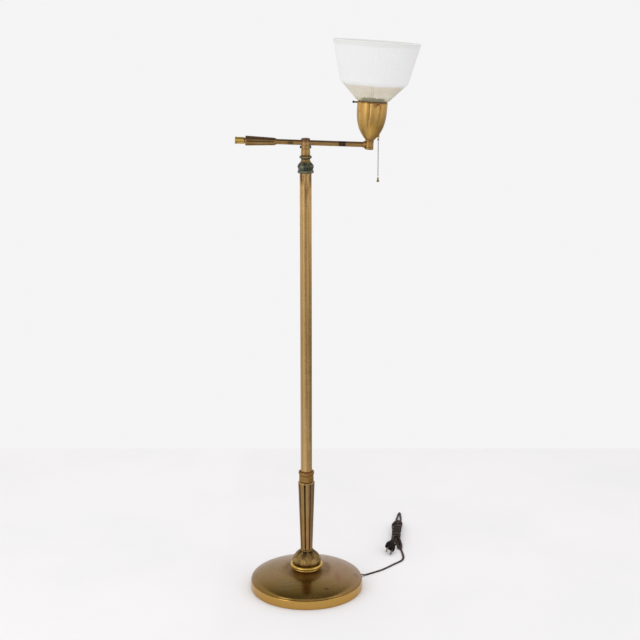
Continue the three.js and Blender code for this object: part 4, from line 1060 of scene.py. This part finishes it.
def build_bell():
    """Cast bell with two rows of leaves."""
    low, high = 45.4, 91.9
    outer = [
        (25.4, low), (25.6, low + 4.5), (27.4, low + 8.8), (31.0, low + 13.6),
        (33.2, low + 18.2), (32.9, low + 22.6), (30.6, low + 27.6), (27.6, low + 32.6),
        (23.4, low + 37.3), (18.0, low + 41.6), (16.0, low + 43.4), (16.2, low + 45.0),
        (14.6, high),
    ]
    inner = [(10.0, high), (10.0, high - 5), (20.0, high - 12)]
    inner += [(28.0, low + 22), (24.0, low + 12), (21.0, low)]

    def relief(angle, radius, height):
        share = (height - low) / (high - low)
        field = 0 * (angle + share)
        for k in range(8):
            centre = radians(-12 + 45 * k)
            upper = leaf(angle, share, centre + radians(22.5), 0.42, 0.99, 0.27)
            lower = 1.08 * leaf(angle, share, centre, 0.1, 0.68, 0.36)
            field = np.maximum(field, np.maximum(upper, lower))
        outside = radius > 12 + 0 * share
        outside = outside & ~((radius < 28.5) & (height < low + 23) & (radius < 22.2 + 0 * share))
        beads = 0.5 + 0.5 * np.cos(40 * angle)
        near_foot = np.exp(-(((share - 0.05) / 0.05) ** 2))
        sunk = np.where(outside, 1.3 * (1 - field) - 0.4 * near_foot * beads, 0)
        shade = np.where(outside, 0.6 - 1.35 * field, 0)
        return sunk, shade

    outline = through(outer, 8) + inner
    bell = turned("acanthus_bell_leaves", outline, STAND, 320, relief, True, step=1.6, reach=4, depth=0.8)
    place_piece(bell, "stand", "dark_bronze", "acanthus_bell")


def reeds(count, depth_at, fine=6.0):
    """Relief of rounded reeds with narrow grooves between them."""

    def relief(angle, radius, height):
        across = np.abs(np.sin(angle * count / 2))
        groove = (1 - across) ** fine
        crown = (1 - across) ** 1.5
        depth = depth_at(radius, height)
        sunk = depth * (0.72 * groove + 0.28 * crown)
        shade = np.clip(depth * 3, 0, 1) * (1.25 * groove**0.6 - 0.3 * across**3)
        return sunk, shade

    return relief


def build_column():
    """Tapered column of eight reeds that end in rounded tips under the collar."""
    low, high = 92.2, 254.2
    slope = (18.5 - 13.35) / (high - 3 - low)
    sides = [(13.35 + slope * (z - low), z) for z in np.linspace(low + 0.5, high - 6, 40)]
    outline = [
        (9.0, low),
        (12.9, low),
        *sides,
        *arc((18.4 - 3.6, high - 4.0), 3.9, 2, 74, 8),
        (13.4, high),
        (9.0, high),
    ]

    def depth_at(radius, height):
        rise = np.clip((height - low) / 10, 0, 1)
        end = np.clip((high - 2.2 - height) / 3.5, 0, 1)
        return np.where(radius > 11, 2.7 * (0.55 + 0.45 * rise) * np.sqrt(end), 0)

    relief = reeds(8, depth_at, 3.2)
    turn = radians(-12)
    column = turned("reeded_column_cast", outline, STAND, 256, relief, True, turn, step=4, reach=3)
    place_piece(column, "stand", "arm_brass", "reeded_column")


def build_collar():
    low, high = 254.5, 278.5
    outline = rounded([
        (9.0, low), (15.7, low, 0.5), (16.2, low + 1.1, 0.5), (16.3, low + 12.4, 0.8),
        (15.2, low + 13.4, 0.5), (15.2, low + 14.5, 0.5), (16.9, low + 16.0, 0.9),
        (17.5, low + 19.2, 1.2), (17.5, high - 1.9, 1.0), (16.4, high - 0.2, 0.9),
        (14.6, high - 1.2, 0.6), (13.0, high - 3.4, 0.3), (13.0, low + 7.4),
        (9.0, low + 7.4),
    ])
    collar = turned("column_collar_cast", outline, STAND, 128, closed=True)
    place_piece(collar, "stand", "cup_brass", "column_collar")


def build_post():
    low, high = 262.2, 946.2
    outline = rounded([
        (11.5, low), (12.7, low, 0.3), (12.7, high - 2.4), (12.7, high, 0.4), (11.5, high),
    ])
    post = turned("post_tube_drawn", outline, STAND, 96, closed=True, step=12)
    place_piece(post, "stand", "post_brass", "post_tube")


# Top of the post ---------------------------------------------------------------------------------


def build_cap():
    """Cast cap: a bead, a bulb, a neck and a disc."""
    low = 946.5
    bulb = [
        (15.5, low + 7.9), (16.2, low + 9.6), (17.2, low + 12.3), (17.4, low + 14.8),
        (16.2, low + 17.8), (14.3, low + 20.4), (11.9, low + 23.1), (10.3, low + 25.8),
        (9.8, low + 28.6), (10.0, low + 31.0),
    ]
    outline = [
        (6.0, low - 10.6), (11.2, low - 10.6), (11.2, low),
        *rounded([
            (12.0, low), (15.8, low, 0.5), (17.5, low + 1.6, 0.7), (17.4, low + 4.2, 0.9),
            (15.6, low + 7.2),
        ]),
        *through(bulb, 5),
        *rounded([
            (10.4, low + 31.4), (12.6, low + 31.8, 0.5), (13.4, low + 33.0, 0.7),
            (13.3, low + 35.6, 0.8), (11.8, low + 36.6, 0.4), (11.2, low + 37.4, 0.3),
            (6.0, low + 37.4),
        ]),
    ]
    cap = turned("top_cap_cast", outline, STAND, 128, closed=True, step=1.5, reach=2.2, depth=0.3)
    place_piece(cap, "stand", "verdigris", "top_cap")


def build_sleeve():
    low, high = 984.2, 997.9
    outline = rounded([
        (5.3, low), (9.5, low, 0.4), (9.9, low + 0.8, 0.3), (9.8, high - 1.6, 0.3),
        (9.3, high - 1.1, 0.2), (9.3, high - 0.5, 0.2), (9.1, high), (8.2, high),
        (8.2, low + 7.5), (5.3, low + 7.5),
    ])
    sleeve = turned("swivel_sleeve_turned", outline, STAND, 96, closed=True, step=2)
    place_piece(sleeve, "arm", "arm_brass", "swivel_sleeve")


def build_tee():
    """Tee with a domed top, a bead round its skirt and bores for both arm tubes."""
    low, high = 998.2, 1021.2
    outline = capped([
        (9.0, low), (9.5, low + 0.4, 0.3), (9.6, low + 6.2, 0.4), (9.2, low + 6.8, 0.2),
        (9.4, low + 7.4, 0.3), (9.5, high - 4.4, 1.6), (9.1, high - 3.0, 0.6),
        (9.9, high - 2.6, 0.4), (9.6, high - 1.3, 0.9), (6.4, high - 0.3, 2.0), (3.0, high),
    ])
    tee = turned("tee_body_cast", outline, STAND, 96, step=1.5)
    arm_bore = rod(5.85, -14, 14, ARM @ ALONG_PLUS_X)
    below = rod(7.3, low - 2, low + 6, STAND)
    screws = rod(1.55, -14, 14, Matrix.Translation((0, 0, (low + 3.5) * MM)) @ ALONG_PLUS_X, 24)
    carve(tee, [arm_bore, below, screws])
    place_piece(tee, "arm", "arm_brass", "tee_body")


def build_cross_screws():
    outline = [(1.3, 7.6), (1.3, 9.7), (3.2, 9.8, 0.3), (3.2, 11.0, 0.6), (2.0, 12.1, 0.8)]
    outline = capped(outline, 12.2)
    for side, turn_to in (("left", ALONG_MINUS_X), ("right", ALONG_PLUS_X)):
        place = Matrix.Translation((0, 0, 1.0017)) @ turn_to
        screw = turned("cross_screw_" + side + "_slotted", outline, place, 40, step=1)
        head_top = place @ Matrix.Translation((0, 0, 0.01215))
        slot = rod(0.45, -5, 5, head_top @ Matrix.Rotation(pi / 2, 4, "X"), 12)
        carve(screw, [slot])
        place_piece(screw, "arm", "black_steel", "cross_screw_" + side)


# Arm ---------------------------------------------------------------------------------------------


def build_arm_tubes():
    tubes = [("rear_tube", 145.3, ALONG_MINUS_X), ("arm_tube", 128.8, ALONG_PLUS_X)]
    for name, end, turn_to in tubes:
        outline = rounded([(4.5, 3.5), (5.6, 3.5, 0.2), (5.6, end, 0.2), (4.5, end)])
        piece = turned(name + "_drawn", outline, ARM @ turn_to, 64, closed=True, step=6)
        place_piece(piece, "arm", "arm_brass", name)


def build_grip():
    """Reeded handle that widens away from the post."""
    start, end = 62.1, 127.6
    outline = rounded([
        (5.9, start), (6.6, start, 0.3), (8.1, start + 4.2, 1.5), (8.9, start + 22, 6),
        (10.6, end - 1.6, 0.8), (10.0, end - 0.3, 0.4), (8.0, end, 0.4), (5.9, end),
    ])

    def depth_at(radius, height):
        along = np.clip((height - start) / (end - start), 0, 1)
        ends = np.clip((end - 2.2 - height) / 2.5, 0, 1) * np.clip((height - start - 2.5) / 4, 0, 1)
        return np.where(radius > 7, (1.0 + 0.7 * along) * np.sqrt(ends), 0)

    place = ARM @ ALONG_MINUS_X
    relief = reeds(8, depth_at, 4.0)
    grip = turned("handle_grip_reeded", outline, place, 192, relief, True, step=1.5, reach=2)
    place_piece(grip, "arm", "arm_brass", "handle_grip")


def build_knob():
    start, end = 129.2, 149.6
    outline = [(0, end - 4), (5.9, end - 4), (5.9, start)]
    outline += rounded([
        (6.4, start), (7.2, start + 0.7, 0.5), (7.3, start + 6.0, 2.0),
        (7.2, end - 5.4, 0.5), (6.8, end - 4.7, 0.3), (7.8, end - 3.9, 0.6),
        (7.8, end - 1.0, 0.6), (7.0, end - 0.2, 0.4), (5.0, end - 0.8, 0.4),
        (3.4, end, 0.8), (1.5, end),
    ])
    outline.append((0, end))
    knob = turned("end_knob_turned", outline, ARM @ ALONG_MINUS_X, 80, step=1.5)
    place_piece(knob, "arm", "bright_brass", "end_knob")


# Head --------------------------------------------------------------------------------------------


def build_elbow():
    """Upright body with a foot bead and a flared boss for the arm."""
    outline = capped([
        (7.6, -10.3), (9.1, -10.0, 0.5), (9.5, -8.8, 0.5), (9.4, -7.4, 0.5),
        (8.9, -6.6, 0.5), (8.9, 6.8, 0.8), (9.3, 7.8, 0.5), (9.3, 9.6, 0.5), (8.4, 10.3),
    ])
    elbow = turned("elbow_cast", outline, HEAD, 96, step=1.5)
    lean = HEAD_LEAN - ARM_DROOP
    towards_arm = HEAD @ Matrix.Rotation(-pi / 2 - lean, 4, "Y")
    boss_outline = capped([
        (6.2, 2), (6.4, 7.6, 1.0), (7.6, 9.4, 0.8), (7.7, 10.8, 0.7), (6.7, 11.8, 0.5),
        (6.6, 14.0, 0.3), (5.0, 14.2),
    ])
    boss = turned("boss", boss_outline, towards_arm, 72, step=1.5)
    carve(elbow, [boss], "UNION")
    bore = rod(5.85, 5.8, 17, towards_arm)
    nipple = rod(5.1, -0.3, 14, HEAD)
    carve(elbow, [bore, nipple])
    place_piece(elbow, "arm", "cup_brass", "elbow")


CUP_START = 10.6
CUP_HEIGHT = 79.7
CUP_FOOT_RADIUS = 9.6
CUP_SPREAD = 22.4


def cup_radius(height):
    share = np.clip(height / CUP_HEIGHT, 0, 1)
    return CUP_FOOT_RADIUS + CUP_SPREAD * (1 - (1 - share) ** 3.4)


def build_cup():
    """Spun cup pressed into eight lobes that fade out towards its foot."""
    start, height = CUP_START, CUP_HEIGHT
    rise = [height * (k / 64) ** 1.3 for k in range(65)]
    outer = [(float(cup_radius(h)), start + h) for h in rise]
    outer[-1] = (outer[-1][0] - 0.25, start + height)
    inner = [(float(cup_radius(h - 0.8)) - 1.0, start + h) for h in rise if h > 1.6]
    outline = [(5.1, start), *outer, *inner[::-1], (8.0, start + 1.6), (5.1, start + 1.6)]

    def relief(angle, radius, level):
        share = (level - start) / height
        rise_in = np.clip((share - 0.14) / 0.6, 0, 1)
        fade = rise_in**2 * (3 - 2 * rise_in)
        across = np.abs(np.sin(4 * angle))
        groove = 0.45 * (1 - across) ** 1.6 + 0.55 * (1 - across) ** 5
        sunk = 2.5 * fade * groove
        shade = fade * (1.15 * (1 - across) ** 3.2 - 0.35 * across**2) * (share < 0.995)
        return sunk, shade

    cup = turned("tulip_cup_pressed", outline, HEAD, 256, relief, True, radians(-13), step=2.5, reach=3)
    cutters = [rod(1.7, 24, 37, screw_place(angle), 24) for angle in SCREW_ANGLES.values()]
    cutters.append(rod(2.9, -4, 9, CHAIN, 24))
    carve(cup, cutters)
    place_piece(cup, "arm", "cup_brass", "tulip_cup")


SCREW_ANGLES = {"left": -98, "front": 22, "rear": 142}


def screw_place(angle):
    """Frame of a thumbscrew: +Z runs outwards from the head's axis."""
    outwards = Vector((sin(radians(angle)), -cos(radians(angle)), 0))
    turn_to = Vector((0, 0, 1)).rotation_difference(outwards).to_matrix().to_4x4()
    return HEAD @ Matrix.Translation((0, 0, 0.087)) @ turn_to


def build_thumbscrews():
    """Thumbscrews with a shouldered shank and a rounded knurled head."""
    outline = capped([
        (1.3, 28.1), (1.35, 33.0, 0.2), (1.9, 33.3, 0.2), (1.9, 35.4, 0.3),
        (1.2, 36.4, 0.4), (1.2, 37.4, 0.4), (2.3, 38.4, 0.5), (2.5, 39.4, 0.3),
        (2.5, 41.0, 0.6), (1.7, 42.3, 0.6), (0.6, 42.5),
    ])

    def knurl(angle, radius, height):
        on_head = np.clip((radius - 2.2) / 0.25, 0, 1) * (height > 38)
        ridge = 0.5 + 0.5 * np.cos(20 * angle)
        return 0.22 * on_head * ridge, 0.7 * on_head * ridge

    for side, angle in SCREW_ANGLES.items():
        name = "thumbscrew_" + side
        place = screw_place(angle)
        screw = turned(name + "_knurled", outline, place, 80, knurl, step=0.6, reach=1.2, depth=0.2)
        slot = "copper" if side == "front" else "black_steel"
        place_piece(screw, "screw_" + side, slot, name)


def build_glass():
    """Pressed glass bowl: neck, plain cone, rounded shoulder and a flared wall of fine ribs
    that stop below a plain rim."""
    cone_foot, cone_top = (34.2, 92.6), (65.5, 124.8)
    wall_foot = (72.6, 134.7)
    shoulder = through([(64.4, 123.7), cone_top, (69.4, 128.9), (72.0, 132.6), wall_foot, (73.8, 140)], 5)
    outer = [
        (24.9, 79),
        *rounded([
            (27.8, 79), (28.7, 79.3, 0.3), (28.7, 80.9, 0.4), (27.8, 82, 0.6),
            (27.8, 90.6, 1.2),
            cone_foot,
        ]),
        *shoulder,
        *rounded([
            (74.7, 143.4), (91.4, 211.8, 2), (92.4, 213.2, 0.7), (92.3, 214.8, 0.6),
            (91.0, 215.5, 0.7), (89.6, 214.8, 0.6), (89.0, 211.6),
        ]),
    ]
    inner = [(89.0, 211.6), (70.9, 138), (67.4, 131), (62.9, 126.4), (33.0, 96.4), (27.0, 92.6)]
    inner = through([*inner, (24.9, 89.4)], 6)

    def relief(angle, radius, height):
        ribs = 0.5 + 0.5 * np.cos(96 * angle)
        wall_fade = np.clip((height - 130) / 6, 0, 1) * np.clip((205 - height) / 2.5, 0, 1)
        wall_line = 72.6 + (height - 134.7) * 19.6 / 80.5
        outside = np.clip((radius - wall_line + 2) / 1.0, 0, 1)
        sunk = 0.55 * ribs * wall_fade * outside
        seam = np.exp(-((np.sin(angle + 0.18) / 0.012) ** 2)) * (np.cos(angle) > 0)
        on_cone = np.clip((height - 98) / 5, 0, 1) * np.clip((124 - height) / 4, 0, 1)
        cone_line = 34.2 + (height - 92.6) * 31.3 / 32.2
        on_cone = on_cone * (radius > cone_line - 1.2)
        return sunk - 0.3 * seam * on_cone, 0 * angle * height

    bowl = turned("glass_shade_ribbed", outer + inner[1:], HEAD, 576, relief, True, step=4)
    place_piece(bowl, "arm", "shade_glass", "glass_shade")


def build_bulb():
    low = 82.3
    globe = 29.8
    centre = low + 82.7 - globe
    neck = [(12.6, 1), (13.1, 5), (16.4, 14), (22.0, 26), (27.6, 40)]
    outline = [(0, low), (12.4, low)]
    outline += through([(radius, low + height) for radius, height in neck], 5)
    outline += arc((0, centre), globe, -14, 88, 24)
    outline.append((0, centre + globe))
    bulb = turned("bulb_coated", outline, HEAD, 72)
    place_piece(bulb, "arm", "bulb_white", "bulb_glass")


# Pull chain --------------------------------------------------------------------------------------


def build_chain():
    """Ball chain: round beads on a thin wire."""
    maker = bmesh.new()
    bead_radius, pitch, first, last = 1.2, 2.98, -12.1, -84.2
    count = int((first - last) / pitch) + 1
    for k in range(count):
        middle = CHAIN @ TO_METRES @ Matrix.Translation((0, 0, first - pitch * k))
        bmesh.ops.create_icosphere(maker, subdivisions=3, radius=bead_radius, matrix=middle)
        link_middle = CHAIN @ TO_METRES @ Matrix.Translation((0, 0, first - pitch * (k + 0.5)))
        bmesh.ops.create_cone(
            maker, cap_ends=True, segments=10, radius1=0.38, radius2=0.38, depth=1.3, matrix=link_middle
        )
    mesh = bpy.data.meshes.new("pull_chain_beads")
    maker.to_mesh(mesh)
    maker.free()
    chain = link("pull_chain_beads", mesh)
    soften(chain)
    place_piece(chain, "chain", "chain_metal", "pull_chain")


def build_chain_ends():
    outline = capped([
        (1.1, -9.7, 0.2), (1.9, -9.2, 0.4), (1.9, -6.6, 0.3), (1.5, -6.2, 0.2),
        (1.9, -5.8, 0.3), (1.5, -4.4, 0.5), (0.7, -3.7, 0.4), (0.6, -3.3),
    ])
    name = "chain_connector_crimped"
    connector = turned(name, outline, CHAIN, 40, step=0.8, reach=0.9, depth=0.15)
    place_piece(connector, "chain_top", "chain_metal", "chain_connector")
    bell_outline = [(0, -94.6), (1.2, -94.8)]
    bell_outline += rounded([
        (2.1, -96.4), (2.7, -96.5, 0.2), (2.9, -95.6, 0.3), (2.4, -93.4, 1.0),
        (1.7, -90.4, 1.0), (1.5, -88.6, 0.3), (1.9, -88.0, 0.3), (1.5, -87.2, 0.4),
        (0.5, -86.8),
    ])
    bell_outline.append((0, -86.8))
    bell = turned("chain_bell_turned", bell_outline, CHAIN, 48, step=0.8, reach=1.0, depth=0.2)
    place_piece(bell, "chain", "dark_bronze", "chain_bell")


# CAD nodes that keep their meshes ----------------------------------------------------------------


def finish_cad_nodes():
    """Gives every CAD node that still shows the material of its slot."""
    for subpart in frame["record"]["subparts"]:
        node = frame["nodes"][subpart["node"]]
        if node.hide_render:
            continue
        node.data.materials.clear()
        node.data.materials.append(MATERIALS[subpart["material_slot"]])


# Stage and light ---------------------------------------------------------------------------------


def plane(name, corners):
    mesh = bpy.data.meshes.new(name)
    mesh.from_pydata(corners, [], [(0, 1, 2, 3)])
    piece = link(name, mesh)
    return piece


def build_floor():
    floor = plane("floor", [(-6, -6, 0), (6, -6, 0), (6, 0.97, 0), (-6, 0.97, 0)])
    nodes = Nodes("floor_paper")
    cloud = nodes.noise(nodes.object_place, 2.2, 3)
    fine = nodes.noise(nodes.object_place, 350, 4)
    colour = nodes.mix(nodes.span(cloud, 0.35, 0.7), tone(240, 238, 239), tone(237, 236, 237))
    nodes.set(Base_Color=colour, Roughness=0.85, Specular_IOR_Level=0.2)
    nodes.bump(fine, 0.04, 0.0004)
    floor.data.materials.append(nodes.material)


def card(name, corners, level, fade=None):
    """A surround that shows only in reflections: a dim side of the studio. level is its
    brightness, and fade is (axis, from, to, brightness at to)."""
    piece = plane(name, corners)
    nodes = Nodes(name)
    nodes.set(Base_Color=(0, 0, 0, 1), Roughness=1.0, Specular_IOR_Level=0.0)
    nodes.set(Emission_Color=(1, 1, 1, 1), Emission_Strength=level)
    if fade:
        axis, start, end, end_level = fade
        nodes.set(Emission_Strength=nodes.span(nodes.part(axis), start, end, level, end_level))
    piece.data.materials.append(nodes.material)
    piece.visible_camera = False
    piece.visible_diffuse = False
    piece.visible_shadow = False
    piece.visible_transmission = False


def level_card(name, corners, height, level, fade=None):
    card(name, [(x, y, height) for x, y in corners], level, fade)


def soft_light(name, place, aim_at, size, power, shows=True):
    data = bpy.data.lights.new(name, "AREA")
    data.shape = "RECTANGLE"
    data.size, data.size_y = size
    data.energy = power
    lamp = bpy.data.objects.new(name, data)
    lamp.location = place
    towards = Vector(aim_at) - Vector(place)
    lamp.rotation_euler = towards.to_track_quat("-Z", "Y").to_euler()
    lamp.visible_camera = False
    lamp.visible_glossy = shows
    bpy.context.scene.collection.objects.link(lamp)


def build_studio():
    world = bpy.data.worlds.new("studio")
    bpy.context.scene.world = world
    world.use_nodes = True
    background = world.node_tree.nodes["Background"]
    background.inputs["Color"].default_value = (0.912, 0.910, 0.914, 1)
    background.inputs["Strength"].default_value = 1.0
    bpy.context.scene.view_settings.view_transform = "Standard"
    build_floor()
    card("dark_room", [(-1.7, -3.7, -0.5), (1.5, -3.7, -0.5), (1.5, -3.7, 0.6), (-1.7, -3.7, 0.6)], 0.34)
    near_floor = [(-1.5, -3.7), (1.3, -3.7), (0.9, -1.1), (-0.9, -1.1)]
    right_floor = [(0.2, -1.1), (3.6, -2.4), (3.6, 3.6), (0.2, 3.6)]
    left_floor = [(-3.6, -2.4), (-0.2, -1.1), (-0.2, 3.6), (-3.6, 3.6)]
    ceiling = [(-2.2, -2.2), (2.2, -2.2), (2.2, 4.6), (-2.2, 4.6)]
    level_card("dark_floor", near_floor, 0.003, 0.34)
    level_card("shaded_right", right_floor, 0.002, 0.42, ("X", 0.4, 1.4, 0.24))
    level_card("shaded_left", left_floor, 0.002, 0.66)
    level_card("dark_ceiling", ceiling, 2.9, 0.27, ("Y", -0.2, 4.4, 0.86))
    soft_light("left_softbox", (-2.3, -2.2, 1.7), (0, 0, 0.8), (1.3, 1.9), 16)
    soft_light("top_light", (0.2, -0.2, 3.2), (0, 0, 0), (3.0, 3.0), 11, shows=False)
    soft_light("right_fill", (2.6, -1.4, 1.5), (0, 0, 0.6), (1.4, 1.8), 5)


# Scene -------------------------------------------------------------------------------------------

add_camera()
MATERIALS = make_materials()
cord_piece, cord_line = build_cord()
plug_pieces = build_plug()
build_base_shell()
build_bushing()
build_ring()
build_bell()
build_column()
build_collar()
build_post()
build_cap()
build_sleeve()
build_tee()
build_cross_screws()
build_arm_tubes()
build_grip()
build_knob()
build_elbow()
build_cup()
build_thumbscrews()
build_glass()
build_bulb()
build_chain()
build_chain_ends()
finish_cad_nodes()
build_studio()
